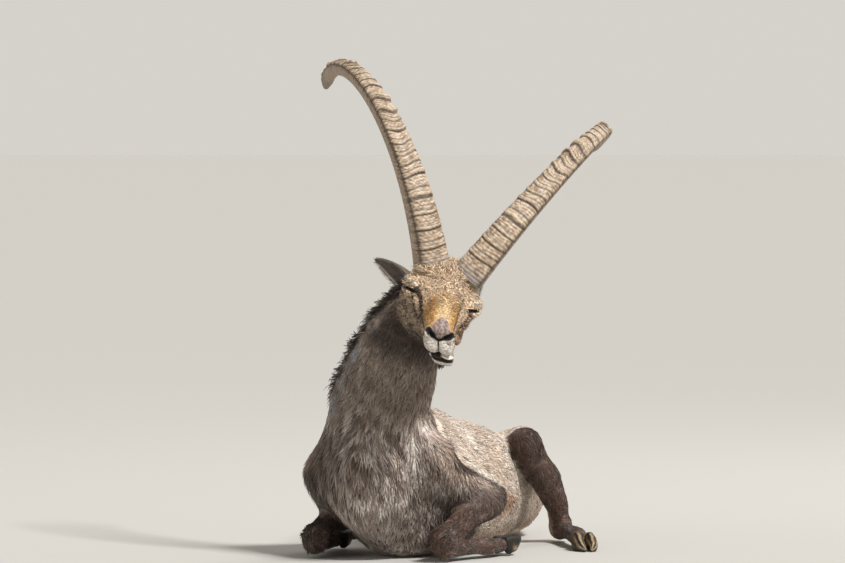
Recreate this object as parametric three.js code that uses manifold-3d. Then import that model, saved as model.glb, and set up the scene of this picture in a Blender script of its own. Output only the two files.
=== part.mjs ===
import * as THREE from "three";
import Module from "manifold-3d";

// Alpine ibex, an adult male at rest with its head up, as a still, life-size model.
// Lengths are millimetres. +X runs along the trunk to the chest, +Y to the animal's left, +Z up.
// The origin lies on the floor, under the brisket. All that touches the floor is cut flat at z = 0.
//
// Flesh is described by distance fields: a field gives, for a point, about how far it lies outside
// the skin, negative inside. Fields are blended, meshed on a grid of cells and parted by thin cuts.

const wasm = await Module();
wasm.setup();

// Clearances
const GAP = 0.3; // left between two pieces that touch
const CUTTER_GROWTH = 0.5; // by which a piece is grown before it cuts its neighbour
const FINEST = 0.06; // slivers thinner than this are smoothed away

// Head: place of the middle between the eyes, and how the head is held
const HEAD_PLACE = [218, 176, 530];
const HEAD_TURN = 23; // degrees to the left of the trunk
const HEAD_NOD = 19; // degrees that the nose dips
const HEAD_TILT = 15; // degrees that the left side drops
const EYE_APART = 53; // from the middle plane of the head to the middle of each eyeball
const EYE_FORWARD = 2;
const EYE_RADIUS = 15;
const EYE_SLIT = { centre: [4, 72, 0.5], radii: [15, 16, 3] }; // the slit between the lids
const UPPER_LID = { height: 6.5, thick: 4.2 };
const LOWER_LID = { height: -5.5, thick: 3.4 };
const LID_HALF_LENGTH = 17;
const NOSTRIL = { centre: [154, 19, -15], radii: [13, 6, 6.5] };

// Ears, in the head's frame: the way each points and the way its cup opens
const EAR_LENGTH = 125;
const EAR_WALL = 4;
const EAR_HALF_WIDTH = 25;
const EAR_SUNK = 14; // how far the ear's root goes into the head
const EAR_ROOT = [-72, 55, -20]; // of the left ear
const EAR_LEFT = { way: [-0.97, 0.15, -0.02], open: [0.1, 0.9, -0.3] };
const EAR_RIGHT = { way: [-0.57, -0.8, 0.16], open: [0.6, -0.4, -0.2] };

// Horns
const HORN_ROOT = [-45, 38, 42]; // of the left horn, in the head's frame
const HORN_LENGTH = 786;
const HORN_RISE = 107.6; // degrees between the muzzle and the start of the horn
const HORN_BEND = 354; // radius of the backward curve
const HORN_WIDTH = 33; // half of the width at the root
const HORN_DEPTH = 36; // half of the depth from front to back at the root
// The plane of each horn's curve leans out by lean and opens backwards by flare, and the horn turns
// out of that plane by twist from root to tip, all in degrees
const HORN_LEFT = { side: 1, lean: 19.3, flare: 22.5, twist: -9.4 };
const HORN_RIGHT = { side: -1, lean: 15.5, flare: 31.2, twist: -12.7 };
const KNOB_SPACING = 29;
const KNOB_HEIGHT = 5;
const KNOB_START = 60;

// Locks of hair: how long, wide and thick, the length from shortest to longest
const MANE_LOCK = { long: [38, 50], wide: 20, thick: 7 };
const BEARD_LOCK = { long: [26, 36], wide: 12, thick: 5 };
const TAIL_LOCK = { long: [34, 46], wide: 13, thick: 5 };

// Limb joints
const LEFT_FORE = {
  blade: [-78, 2, 240],
  shoulder: [88, 74, 196],
  elbow: [-62, 146, 116],
  knee: [118, 126, 46],
};
const RIGHT_FORE = {
  blade: [-72, -104, 222],
  shoulder: [84, -134, 168],
  elbow: [-50, -178, 86],
  knee: [130, -150, 46],
};
// haunch is half its width and depth at the hip, calf how far the gaskin bulges from its line, and
// cannonTurn the way the foot points, in degrees to the left of the trunk
const LEFT_HIND = {
  hip: [-505, 14, 160],
  stifle: [-305, 122, 206],
  hock: [-462, 130, 38],
  haunch: [54, 76],
  calf: [-5, 10, 0],
  cannonTurn: 36,
};
const RIGHT_HIND = {
  hip: [-505, -106, 76],
  stifle: [-335, -186, 74],
  hock: [-560, -252, 38],
  haunch: [66, 86],
  calf: [0, 0, 0],
  cannonTurn: -14,
};
const HIND_CANNON_LENGTH = 168;
const FORE_CLAW_LENGTH = 58;
const HIND_CLAW_LENGTH = 62;

// Boxes in which the skin is meshed, each in the frame of its piece, with the size of a cell
const TORSO_GRID = { low: [-740, -270, -40], high: [260, 230, 420], cell: [42, 29, 29] };
const NECK_GRID = { low: [-240, -190, -210], high: [240, 190, 210], cell: [34, 26, 26] };
const HEAD_GRID = { low: [-150, -110, -130], high: [190, 110, 110], cell: [14, 12.5, 12.5] };
const JAW_GRID = { low: [-110, -70, -120], high: [160, 70, -20], cell: [16, 12, 12] };
const TAIL_GRID = { low: [-800, -150, 0], high: [-610, -30, 175], cell: [15, 12, 12] };
const FOREARM_CELL = [30, 18, 18];
const FORE_CANNON_CELL = [28, 13, 13];
const THIGH_CELL = [30, 25, 25];
const GASKIN_CELL = [34, 19, 19];
const HIND_CANNON_CELL = [30, 14, 14];

const COLOURS = {
  flank: "#b29a84",
  neck: "#756a60",
  face: "#a9845a",
  leg: "#4a3428",
  horn: "#a08a70",
  hoof: "#2c2622",
  eye: "#1b120c",
  ear: "#8a7460",
};

// Vectors
const add = (a, b) => [a[0] + b[0], a[1] + b[1], a[2] + b[2]];
const sub = (a, b) => [a[0] - b[0], a[1] - b[1], a[2] - b[2]];
const times = (a, s) => [a[0] * s, a[1] * s, a[2] * s];
const dot = (a, b) => a[0] * b[0] + a[1] * b[1] + a[2] * b[2];
const cross = (a, b) => [a[1] * b[2] - a[2] * b[1], a[2] * b[0] - a[0] * b[2], a[0] * b[1] - a[1] * b[0]];
const size = (a) => Math.hypot(a[0], a[1], a[2]);
const unit = (a) => times(a, 1 / size(a));
const mix = (a, b, t) => [a[0] + (b[0] - a[0]) * t, a[1] + (b[1] - a[1]) * t, a[2] + (b[2] - a[2]) * t];
const lerp = THREE.MathUtils.lerp;
const radians = THREE.MathUtils.degToRad;
const clamp = THREE.MathUtils.clamp;
const UP = [0, 0, 1];

const heading = (turn, rise) => {
  const [a, b] = [radians(turn), radians(rise)];
  return [Math.cos(b) * Math.cos(a), Math.cos(b) * Math.sin(a), Math.sin(b)];
};

// A frame is an origin with three unit axes: x forward, y level and to the left, z up towards the hint
function frameAt(origin, forward, upHint, tilt = 0) {
  const x = unit(forward);
  const level = unit(cross(upHint, x));
  const rise = cross(x, level);
  const [c, s] = [Math.cos(radians(tilt)), Math.sin(radians(tilt))];
  const y = sub(times(level, c), times(rise, s));
  return { origin, x, y, z: cross(x, y) };
}

const place = (f, p) =>
  add(f.origin, add(times(f.x, p[0]), add(times(f.y, p[1]), times(f.z, p[2]))));
const turnTo = (f, v) => add(times(f.x, v[0]), add(times(f.y, v[1]), times(f.z, v[2])));
const local = (f, p) => {
  const q = sub(p, f.origin);
  return [dot(q, f.x), dot(q, f.y), dot(q, f.z)];
};
const ROW = { origin: [0, 0, 0], x: [1, 0, 0], y: [0, 1, 0], z: [0, 0, 1] };
const HEAD = frameAt(HEAD_PLACE, heading(HEAD_TURN, -HEAD_NOD), UP, HEAD_TILT);

// A seeded draw, so that locks vary in the same way each time
let seed = 7;
function draw(low, high) {
  seed = (seed * 1664525 + 1013904223) % 4294967296;
  return low + ((high - low) * seed) / 4294967296;
}

// Fields

// An ellipsoid: the distance is measured along the ray from its centre
function ellipsoid(centre, radii, frame = ROW) {
  return (p) => {
    const q = sub(p, centre);
    const r = size(q);
    const k = Math.hypot(dot(q, frame.x) / radii[0], dot(q, frame.y) / radii[1], dot(q, frame.z) / radii[2]);
    return k < 1e-6 ? -Math.min(...radii) : r * (1 - 1 / k);
  };
}

// A bar of oval section through stations { at, across, deep, roll }. The across axis is level, then
// turned about the bar by roll. hint is the way taken as up.
function bar(stations, hint = UP) {
  const ends = stations.map((s, i) => {
    const before = stations[Math.max(i - 1, 0)].at;
    const after = stations[Math.min(i + 1, stations.length - 1)].at;
    const f = frameAt(s.at, sub(after, before), hint, s.roll);
    return { ...s, side: f.y, rise: f.z };
  });
  return (p) => {
    let best = Infinity;
    for (let i = 0; i + 1 < ends.length; i += 1) {
      const [a, b] = [ends[i], ends[i + 1]];
      const span = sub(b.at, a.at);
      const t = clamp(dot(sub(p, a.at), span) / dot(span, span), 0, 1);
      const q = sub(p, mix(a.at, b.at, t));
      const side = lerp(dot(q, a.side), dot(q, b.side), t);
      const rise = lerp(dot(q, a.rise), dot(q, b.rise), t);
      const across = lerp(a.across, b.across, t);
      const deep = lerp(a.deep, b.deep, t);
      const r = size(q);
      const along = Math.sqrt(Math.max(r * r - side * side - rise * rise, 0));
      const k = Math.hypot(side / across, rise / deep, along / Math.min(across, deep));
      best = Math.min(best, k < 1e-6 ? -Math.min(across, deep) : r * (1 - 1 / k));
    }
    return best;
  };
}

const station = (at, across, deep, roll = 0) => ({ at, across, deep, roll });

// Joins fields with a fillet of about the given reach
function blend(reach, ...fields) {
  return (p) => {
    let value = fields[0](p);
    for (let i = 1; i < fields.length; i += 1) {
      const other = fields[i](p);
      const h = Math.max(reach - Math.abs(value - other), 0) / reach;
      value = Math.min(value, other) - (h * h * reach) / 4;
    }
    return value;
  };
}

// The lower face leans to the left below the level of the eyes, and the chewing jaw a little more
const SWAY_FROM = -20;
const SWAY = 0.36;
const CHEW = 7;
const rising = THREE.MathUtils.smoothstep;
const sway = ([x, , z]) => {
  const drop = Math.max(SWAY_FROM - z, 0);
  const lean = ((SWAY * drop * drop) / (drop + 16)) * rising(x, -70, 20);
  return lean + CHEW * rising(x, 40, 110) * rising(-z, 50, 66);
};
const inHead = (field) => (p) => {
  const q = local(HEAD, p);
  return field([q[0], q[1] - sway(q), q[2]]);
};
const placeInFace = (q) => place(HEAD, [q[0], q[1] + sway(q), q[2]]);

// The same on both sides of the head
const mirrored = (field) => (p) => field([p[0], Math.abs(p[1]), p[2]]);

// Trunk, resting on its right side more and more towards the hips
const trunk = bar([
  station([150, -24, 190], 68, 84, 12),
  station([96, -28, 172], 110, 132, 14),
  station([0, -24, 152], 134, 160, 17),
  station([-120, -14, 141], 140, 148, 20),
  station([-240, -10, 130], 138, 137, 22),
  station([-350, -26, 120], 122, 126, 26),
  station([-450, -44, 113], 112, 118, 32),
  station([-550, -60, 104], 98, 110, 38),
  station([-625, -74, 96], 66, 82, 42),
]);

const neckSpine = [
  [30, -62, 236],
  [78, -30, 310],
  [106, 7, 378],
  [130, 46, 445],
  [145, 95, 508],
  [153, 148, 556],
];
const NECK_BACK = [-0.6, -0.75, 0.2]; // the way to the mane
const neckWidths = [100, 100, 93, 80, 64, 46];
const neckDepths = [116, 108, 99, 86, 72, 50];
const neck = bar(
  neckSpine.map((at, i) => station(at, neckWidths[i], neckDepths[i])),
  NECK_BACK,
);

const shoulderOf = (leg) =>
  blend(
    24,
    bar([station(leg.blade, 44, 50), station(leg.shoulder, 52, 54)]),
    bar([
      station(leg.shoulder, 54, 58),
      station(mix(leg.shoulder, leg.elbow, 0.5), 50, 56),
      station(leg.elbow, 40, 46),
    ]),
  );
const haunchOf = (leg) =>
  bar([
    station(leg.hip, ...leg.haunch),
    station(mix(leg.hip, leg.stifle, 0.5), 0.86 * leg.haunch[0], 0.84 * leg.haunch[1]),
  ]);

const torsoField = blend(
  46,
  trunk,
  shoulderOf(LEFT_FORE),
  shoulderOf(RIGHT_FORE),
  haunchOf(LEFT_HIND),
  haunchOf(RIGHT_HIND),
);

// Skull and upper jaw, in the head's frame
const skull = mirrored(
  blend(
    16,
    bar([
      station([-84, 0, 0], 54, 54),
      station([-44, 0, 8], 60, 62),
      station([0, 0, -6], 58, 56),
      station([46, 0, -13], 45, 50),
      station([96, 0, -19], 36, 42),
      station([126, 0, -22], 34, 40),
      station([138, 0, -26], 29, 33),
    ]),
    ellipsoid([-6, 50, 5], [35, 24, 25]), // rim of the eye
    ellipsoid([-34, 38, -40], [48, 26, 36]), // cheek
    ellipsoid([8, 32, -52], [48, 20, 27]), // chewing muscle
    ellipsoid([-46, 34, 48], [30, 32, 30]), // root of the horn
    ellipsoid([-74, 48, -14], [20, 22, 24]), // root of the ear
  ),
);

const core = blend(34, blend(52, torsoField, neck), inHead(skull));

const jawField = inHead(
  mirrored(
    blend(
      10,
      bar([
        station([-52, 0, -52], 38, 34),
        station([0, 0, -60], 34, 29),
        station([56, 0, -68], 27, 22),
        station([100, 0, -72], 22, 16),
        station([122, 0, -73], 18, 13),
      ]),
      ellipsoid([130, 7, -69], [11, 13, 8]), // lower lip
    ),
  ),
);

// Meshes

// Meshes the skin of a field inside a box of the given frame. Each cell that the skin crosses gets one
// point, drawn onto the skin, and each grid edge that it crosses gets a quad of the four cells around.
function netOf(field, frame, { low, high, cell }) {
  const count = low.map((v, i) => Math.ceil((high[i] - v) / cell[i]) + 1);
  const index = (i, j, k) => i + count[0] * (j + count[1] * k);
  const corner = (i, j, k) => [low[0] + i * cell[0], low[1] + j * cell[1], low[2] + k * cell[2]];
  const top = corner(count[0] - 1, count[1] - 1, count[2] - 1);
  // The skin, closed by flat faces where it would run out of the box
  const closed = (q) => {
    const walls = q.map((v, i) => Math.max(low[i] - v, v - top[i]) + 0.6 * cell[i]);
    return Math.max(field(place(frame, q)), ...walls);
  };
  const values = new Float64Array(count[0] * count[1] * count[2]);
  for (let k = 0; k < count[2]; k += 1) {
    for (let j = 0; j < count[1]; j += 1) {
      for (let i = 0; i < count[0]; i += 1) {
        values[index(i, j, k)] = closed(corner(i, j, k));
      }
    }
  }
  const inside = (i, j, k) => values[index(i, j, k)] < 0;
  const steps = [
    [1, 0, 0],
    [0, 1, 0],
    [0, 0, 1],
  ];
  const points = [];
  const pointOf = new Map();
  const cellPoint = (i, j, k) => {
    const key = index(i, j, k);
    if (!pointOf.has(key)) {
      pointOf.set(key, points.length);
      points.push(settle(closed, crossingMean(i, j, k), Math.min(...cell)));
    }
    return pointOf.get(key);
  };
  // The mean of the places where the skin crosses the edges of one cell
  const crossingMean = (i, j, k) => {
    let sum = [0, 0, 0];
    let found = 0;
    steps.forEach((step, axis) => {
      const [u, v] = [steps[(axis + 1) % 3], steps[(axis + 2) % 3]];
      for (const [a, b] of [[0, 0], [1, 0], [0, 1], [1, 1]]) {
        const start = add([i, j, k], add(times(u, a), times(v, b)));
        const end = add(start, step);
        const [f, g] = [values[index(...start)], values[index(...end)]];
        if (f < 0 !== g < 0) {
          sum = add(sum, mix(corner(...start), corner(...end), f / (f - g)));
          found += 1;
        }
      }
    });
    return times(sum, 1 / found);
  };
  const triangles = [];
  const quad = (a, b, c, d) => {
    if (size(sub(points[a], points[c])) < size(sub(points[b], points[d]))) {
      triangles.push([a, b, c], [a, c, d]);
    } else {
      triangles.push([b, c, d], [b, d, a]);
    }
  };
  for (let k = 0; k < count[2] - 1; k += 1) {
    for (let j = 0; j < count[1] - 1; j += 1) {
      for (let i = 0; i < count[0] - 1; i += 1) {
        steps.forEach((step, axis) => {
          const here = inside(i, j, k);
          if (here === inside(i + step[0], j + step[1], k + step[2])) return;
          const [u, v] = [steps[(axis + 1) % 3], steps[(axis + 2) % 3]];
          const around = [
            cellPoint(i, j, k),
            cellPoint(i - u[0], j - u[1], k - u[2]),
            cellPoint(i - u[0] - v[0], j - u[1] - v[1], k - u[2] - v[2]),
            cellPoint(i - v[0], j - v[1], k - v[2]),
          ];
          if (here) quad(...around);
          else quad(...around.reverse());
        });
      }
    }
  }
  return { points: points.map((q) => place(frame, q)), triangles };
}

// Moves a point onto the skin, down the slope of the field
function settle(field, start, reach) {
  const h = 0.5;
  let p = start;
  for (let round = 0; round < 3; round += 1) {
    const value = field(p);
    const slope = [0, 1, 2].map((i) => {
      const step = [0, 0, 0];
      step[i] = h;
      return (field(add(p, step)) - field(sub(p, step))) / (2 * h);
    });
    const steep = Math.max(dot(slope, slope), 0.05);
    const move = times(slope, -value / steep);
    const far = size(move);
    p = add(p, far > reach / 2 ? times(move, reach / 2 / far) : move);
  }
  return p;
}

// Joins rings of points into a closed skin, each end closed by a fan
function loft(rings) {
  const n = rings[0].length;
  const points = rings.flat();
  const triangles = [];
  for (let r = 0; r + 1 < rings.length; r += 1) {
    for (let i = 0; i < n; i += 1) {
      const j = (i + 1) % n;
      const [a, b, c, d] = [r * n + i, r * n + j, (r + 1) * n + j, (r + 1) * n + i];
      triangles.push([a, b, c], [a, c, d]);
    }
  }
  const last = (rings.length - 1) * n;
  for (const [start, turned] of [[0, true], [last, false]]) {
    const middle = points.length;
    points.push(times(rings[start / n].reduce(add), 1 / n));
    for (let i = 0; i < n; i += 1) {
      const j = (i + 1) % n;
      triangles.push(turned ? [middle, start + j, start + i] : [middle, start + i, start + j]);
    }
  }
  return { points, triangles };
}

function volumeOf({ points, triangles }) {
  return triangles.reduce((sum, [a, b, c]) => sum + dot(points[a], cross(points[b], points[c])) / 6, 0);
}

// Solids

function solidOf(mesh) {
  const turned = volumeOf(mesh) < 0;
  const triangles = turned ? mesh.triangles.map(([a, b, c]) => [a, c, b]) : mesh.triangles;
  return new wasm.Manifold(
    new wasm.Mesh({
      numProp: 3,
      vertProperties: Float32Array.from(mesh.points.flat()),
      triVerts: Uint32Array.from(triangles.flat()),
    }),
  );
}

function meshOf(solid) {
  const { vertProperties, triVerts, numProp } = solid.getMesh();
  const points = [];
  for (let i = 0; i < vertProperties.length; i += numProp) {
    points.push([vertProperties[i], vertProperties[i + 1], vertProperties[i + 2]]);
  }
  const triangles = [];
  for (let i = 0; i < triVerts.length; i += 3) {
    triangles.push([triVerts[i], triVerts[i + 1], triVerts[i + 2]]);
  }
  return { points, triangles };
}

// Keeps only the largest closed surface of a solid
function largest(solid) {
  const parts = solid.decompose();
  return parts.reduce((a, b) => (b.volume() > a.volume() ? b : a));
}

// Pushes each point of a solid out, so far that each face around it moves out by about the growth
function grown(solid, by = CUTTER_GROWTH) {
  const { points, triangles } = meshOf(solid);
  const around = points.map(() => []);
  for (const t of triangles) {
    const [a, b, c] = t.map((i) => points[i]);
    const face = cross(sub(b, a), sub(c, a));
    const area = size(face);
    if (area > 1e-6) t.forEach((i) => around[i].push(times(face, 1 / area)));
  }
  const moved = points.map((p, i) => {
    if (around[i].length === 0) return p;
    const way = unit(around[i].reduce(add));
    const least = Math.min(...around[i].map((face) => dot(face, way)));
    return add(p, times(way, by / Math.max(least, 0.3)));
  });
  return solidOf({ points: moved, triangles });
}

// Cuts a solid clear of its neighbours. Each is taken off as it is, too, for the places where a sharp
// edge does not grow well.
const clearOf = (solid, ...others) =>
  largest(others.reduce((rest, other) => rest.subtract(grown(other)).subtract(other), solid));

// Keeps the side of a plane that its normal points to, half a gap clear of the plane
function sideOf(solid, point, normal) {
  const n = unit(normal);
  return solid.trimByPlane(n, dot(n, point) + GAP / 2);
}

// Everything above the floor
const onFloor = (solid) => solid.trimByPlane(UP, 0);

const flesh = (field, frame, grid) => solidOf(netOf(field, frame, grid));

// Cuts between torso, neck and head
const NECK_CUT = { point: [75, -35, 306], normal: [0.45, 0.12, 0.88] };
const HEAD_CUT = { point: place(HEAD, [-76, 0, -30]), normal: turnTo(HEAD, [0.8, 0.3, 0.52]) };

function torso() {
  const whole = flesh(core, ROW, TORSO_GRID);
  return largest(onFloor(sideOf(whole, NECK_CUT.point, times(NECK_CUT.normal, -1))));
}

function neckSolid() {
  const up = unit(sub(neckSpine[4], neckSpine[1]));
  const frame = frameAt(neckSpine[2], up, NECK_BACK);
  const whole = flesh(core, frame, NECK_GRID);
  const above = sideOf(whole, NECK_CUT.point, NECK_CUT.normal);
  return largest(sideOf(above, HEAD_CUT.point, times(HEAD_CUT.normal, -1)));
}

// An ellipsoid as a solid, for sockets and eyeballs
function ball(frame, centre, radii, across = 12) {
  const rows = across / 2;
  const rings = [];
  for (let r = 0; r < rows; r += 1) {
    const angle = (Math.PI * (r + 0.5)) / rows;
    const ring = [];
    for (let i = 0; i < across; i += 1) {
      const a = (2 * Math.PI * i) / across;
      const q = [Math.cos(angle), Math.sin(angle) * Math.cos(a), Math.sin(angle) * Math.sin(a)];
      ring.push(place(frame, add(centre, q.map((v, axis) => v * radii[axis]))));
    }
    rings.push(ring);
  }
  return solidOf(loft(rings));
}

const eyeball = (side) => ball(HEAD, [EYE_FORWARD, side * EYE_APART, 0], Array(3).fill(EYE_RADIUS));
const onSide = ({ centre, radii }, side, across) =>
  ball(HEAD, [centre[0], side * centre[1], centre[2]], radii, across);

// A lid is a bent bar that lies over the eyeball, thick in the middle and thin at the corners
function lid(side, { height, thick }) {
  const reach = EYE_RADIUS + 3;
  const steps = 6;
  const rings = [];
  for (let s = 0; s <= steps; s += 1) {
    const a = lerp(-1, 1, s / steps);
    const half = thick * (1 - 0.7 * a * a);
    const out = EYE_APART - 1 + Math.sqrt(Math.max(reach * reach - a * a * 170, 0));
    const centre = [EYE_FORWARD + 1 + a * LID_HALF_LENGTH, side * out, height * (1 - a * a) + a * 1.5];
    rings.push(
      [0, 60, 120, 180, 240, 300].map((angle) => {
        const [c, s1] = [Math.cos(radians(angle)), Math.sin(radians(angle))];
        return place(HEAD, add(centre, [0, side * c * half * 1.2, s1 * half]));
      }),
    );
  }
  return solidOf(loft(rings));
}

function head() {
  const whole = flesh(core, HEAD, HEAD_GRID);
  let solid = sideOf(whole, HEAD_CUT.point, HEAD_CUT.normal);
  for (const side of [1, -1]) {
    solid = solid.add(lid(side, UPPER_LID)).add(lid(side, LOWER_LID));
    solid = solid.subtract(onSide(EYE_SLIT, side, 10));
    solid = solid.subtract(grown(eyeball(side)));
    solid = solid.subtract(onSide(NOSTRIL, side, 8));
  }
  return largest(solid);
}

// The jaw hangs a little open, with a short beard under the chin
function jaw(headSolid) {
  const bone = flesh(jawField, HEAD, JAW_GRID);
  let solid = clearOf(bone, headSolid);
  const locks = 7;
  const backwards = turnTo(HEAD, [-1, 0, 0]);
  for (let i = 0; i < locks; i += 1) {
    const [c, s] = [Math.cos((2 * Math.PI * i) / locks), Math.sin((2 * Math.PI * i) / locks)];
    const root = placeInFace([96 + 13 * c, 9 * s, -82]);
    const way = turnTo(HEAD, [-0.25 + 0.2 * c, 0.22 * s, -1]);
    solid = solid.add(lock(root, way, backwards, BEARD_LOCK));
  }
  return largest(solid);
}

// A flat lock of hair: rings of a low wedge along a line that bends towards a hint, tapering to its tip
function lock(root, way, bend, kind) {
  const rings = [];
  const steps = 3;
  const long = draw(...kind.long);
  let at = sub(root, times(unit(way), long * 0.25));
  for (let s = 0; s <= steps; s += 1) {
    const t = s / steps;
    const go = unit(add(unit(way), times(unit(bend), 0.8 * t * t)));
    const flat = unit(cross(go, bend));
    const out = cross(flat, go);
    const w = 0.5 * kind.wide * (t < 0.5 ? 1 - 0.15 * t : 1.85 * (1 - t) + 0.06);
    const h = 0.5 * kind.thick * (1 - 0.8 * t);
    rings.push([add(at, times(flat, w)), add(at, times(out, h)), add(at, times(flat, -w))]);
    at = add(at, times(go, (long * 1.25) / steps));
  }
  return solidOf(loft(rings));
}

// An ear is a leaf rolled into a cup, with a wall of even thickness
function ear(side, { way, open }) {
  const root = place(HEAD, [EAR_ROOT[0], side * EAR_ROOT[1], EAR_ROOT[2]]);
  const frame = frameAt(root, turnTo(HEAD, way), turnTo(HEAD, open));
  const rings = [];
  const steps = 11;
  for (let s = 0; s <= steps; s += 1) {
    const t = s / steps;
    const width = EAR_HALF_WIDTH * Math.pow(Math.sin(Math.PI * Math.min(0.12 + 0.86 * t, 0.985)), 0.7);
    const roll = lerp(150, 62, Math.pow(t, 0.6));
    const depth = lerp(0.95, 0.35, t) * width;
    const arc = (grow) =>
      [-1, -0.6, -0.2, 0.2, 0.6, 1].map((v) => {
        const a = radians(v * roll);
        return place(frame, [
          EAR_LENGTH * t - EAR_SUNK,
          Math.sin(a) * (width + grow),
          (1 - Math.cos(a)) * (depth + grow) - depth - grow,
        ]);
      });
    rings.push([...arc(0), ...arc(-Math.min(EAR_WALL, width * 0.5)).reverse()]);
  }
  return solidOf(loft(rings));
}

// The line of a horn: it leaves the brow, leans out and curves back and down
function hornLine({ side, lean, flare, twist }, steps) {
  const [leanCos, leanSin] = [Math.cos(radians(lean)), Math.sin(radians(lean))];
  const [flareCos, flareSin] = [Math.cos(radians(flare)), Math.sin(radians(flare))];
  const open = ([x, y, z]) =>
    turnTo(HEAD, [x * flareCos + y * flareSin, side * (y * flareCos - x * flareSin), z]);
  const outOfPlane = [0, leanCos, -leanSin];
  const line = [];
  let at = place(HEAD, [HORN_ROOT[0], side * HORN_ROOT[1], HORN_ROOT[2]]);
  const pace = HORN_LENGTH / steps;
  for (let i = 0; i <= steps; i += 1) {
    const run = i * pace;
    const rise = radians(HORN_RISE) + run / HORN_BEND;
    const turn = radians(twist) * (i / steps);
    const inPlane = [Math.cos(rise), leanSin * Math.sin(rise), leanCos * Math.sin(rise)];
    const front = [Math.sin(rise), -leanSin * Math.cos(rise), -leanCos * Math.cos(rise)];
    const way = open(add(times(inPlane, Math.cos(turn)), times(outOfPlane, Math.sin(turn))));
    line.push({ at, way, front: open(front), run });
    at = add(at, times(way, pace));
  }
  return line;
}

// How far a horn's front stands out at a run along it: low waves near the root, strong knobs further out
function knob(run) {
  const phase = ((run - KNOB_START) / KNOB_SPACING) % 1;
  const wave = Math.max(Math.cos(2 * Math.PI * phase), -0.3);
  const strength = clamp((run - 120) / 300, 0.25, 1) * clamp((HORN_LENGTH - run) / 60, 0, 1);
  return run < KNOB_START / 2 ? 0 : KNOB_HEIGHT * strength * wave;
}

function horn(shape, headSolid) {
  const stepsPerKnob = 3;
  const steps = Math.round((HORN_LENGTH / KNOB_SPACING) * stepsPerKnob);
  const sides = 8;
  const rings = hornLine(shape, steps).map(({ at, way, front, run }) => {
    const t = run / HORN_LENGTH;
    const slim = (1 - 1.0 * t + 0.34 * t * t) * Math.sqrt(clamp((1.015 - t) / 0.06, 0.02, 1));
    const f = frameAt(at, way, front);
    return Array.from({ length: sides }, (_, i) => {
      const a = (2 * Math.PI * (i + 0.5)) / sides;
      const [c, s] = [Math.cos(a), Math.sin(a)];
      const square = Math.pow(Math.abs(c) ** 3 + Math.abs(s) ** 3, -1 / 3);
      const bump = knob(run) * clamp(c + 0.4, 0, 1);
      return place(f, [
        0,
        s * square * (HORN_WIDTH * slim * (1 + 0.14 * c) + 0.5 * bump),
        c * square * (HORN_DEPTH * slim + bump),
      ]);
    });
  });
  return clearOf(solidOf(loft(rings)), headSolid);
}

// Sections of a claw: how far along it, half its width, and the heights of its top and its sole
const CLAW_SECTIONS = [
  [-0.1, 10, 24, 3],
  [0.12, 12.5, 37, 0],
  [0.55, 12, 31, 0],
  [0.86, 8.5, 17, 0],
  [1.0, 3, 6, 0.5],
];

// A claw in its own frame: x to the toe, z away from the sole
function claw(frame, side, long) {
  const rings = CLAW_SECTIONS.map(([t, half, top, sole]) =>
    [[-1, 0], [1, 0], [1, 0.6], [0.5, 1], [-0.5, 1], [-1, 0.6]].map(([y, z]) =>
      place(frame, [t * long, side * (half + 1 + 2 * t) + y * half, lerp(sole, top, z)]),
    ),
  );
  return solidOf(loft(rings));
}

// A tail lies short and flat behind the rump, with locks to its tip
function tail(torsoSolid) {
  const line = [
    [-660, -78, 128],
    [-706, -88, 100],
    [-738, -96, 68],
    [-760, -102, 40],
  ];
  const field = bar([
    station(line[0], 26, 20),
    station(line[1], 25, 17),
    station(line[2], 20, 13),
    station(line[3], 12, 9),
  ]);
  const whole = flesh(field, ROW, TAIL_GRID);
  let solid = clearOf(onFloor(whole), torsoSolid);
  for (let i = 0; i < 9; i += 1) {
    const from = mix(line[1], line[3], i / 8);
    const way = [-0.55, draw(-0.45, 0.45), -0.5];
    solid = solid.add(lock(from, way, [-1, 0, 0.2], TAIL_LOCK));
  }
  return onFloor(clearOf(solid, torsoSolid));
}

// Mane: short flat locks in rows along the back of the neck, leaning down towards the withers
function mane(neckOnly, blocks) {
  let solid = neckOnly;
  const rows = 3;
  const along = 10;
  for (let i = 0; i < along; i += 1) {
    for (let j = 0; j < rows; j += 1) {
      const t = 0.9 + (i / along) * 3.3;
      const part = Math.floor(t);
      const centre = mix(neckSpine[part], neckSpine[part + 1], t - part);
      const way = unit(sub(neckSpine[part + 1], neckSpine[part]));
      const sideways = unit(cross(NECK_BACK, way));
      const out = unit(add(cross(way, sideways), times(sideways, (j - 1) * 0.42 + draw(-0.08, 0.08))));
      const skin = surfaceFrom(core, centre, out);
      const go = unit(add(times(way, -1), times(out, 0.42)));
      solid = solid.add(lock(skin, go, times(way, -1), MANE_LOCK));
    }
  }
  return onFloor(clearOf(solid, ...blocks));
}

// The place where a ray from inside leaves the skin
function surfaceFrom(field, start, way) {
  let [near, far] = [0, 400];
  for (let i = 0; i < 24; i += 1) {
    const half = (near + far) / 2;
    if (field(add(start, times(way, half))) < 0) near = half;
    else far = half;
  }
  return add(start, times(way, near));
}

// A length of leg as flesh on a grid that follows the bone
function legPiece(stations, cell, blocks = []) {
  const [first, last] = [stations[0], stations[stations.length - 1]];
  const frame = frameAt(first.at, sub(last.at, first.at), UP);
  const long = size(sub(last.at, first.at));
  const wide = Math.max(...stations.map((s) => Math.max(s.across, s.deep))) * 1.25 + 20;
  const grid = { low: [-wide, -wide, -wide], high: [long + wide, wide, wide], cell };
  const whole = flesh(bar(stations), frame, grid);
  return clearOf(onFloor(whole), ...blocks);
}

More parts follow.
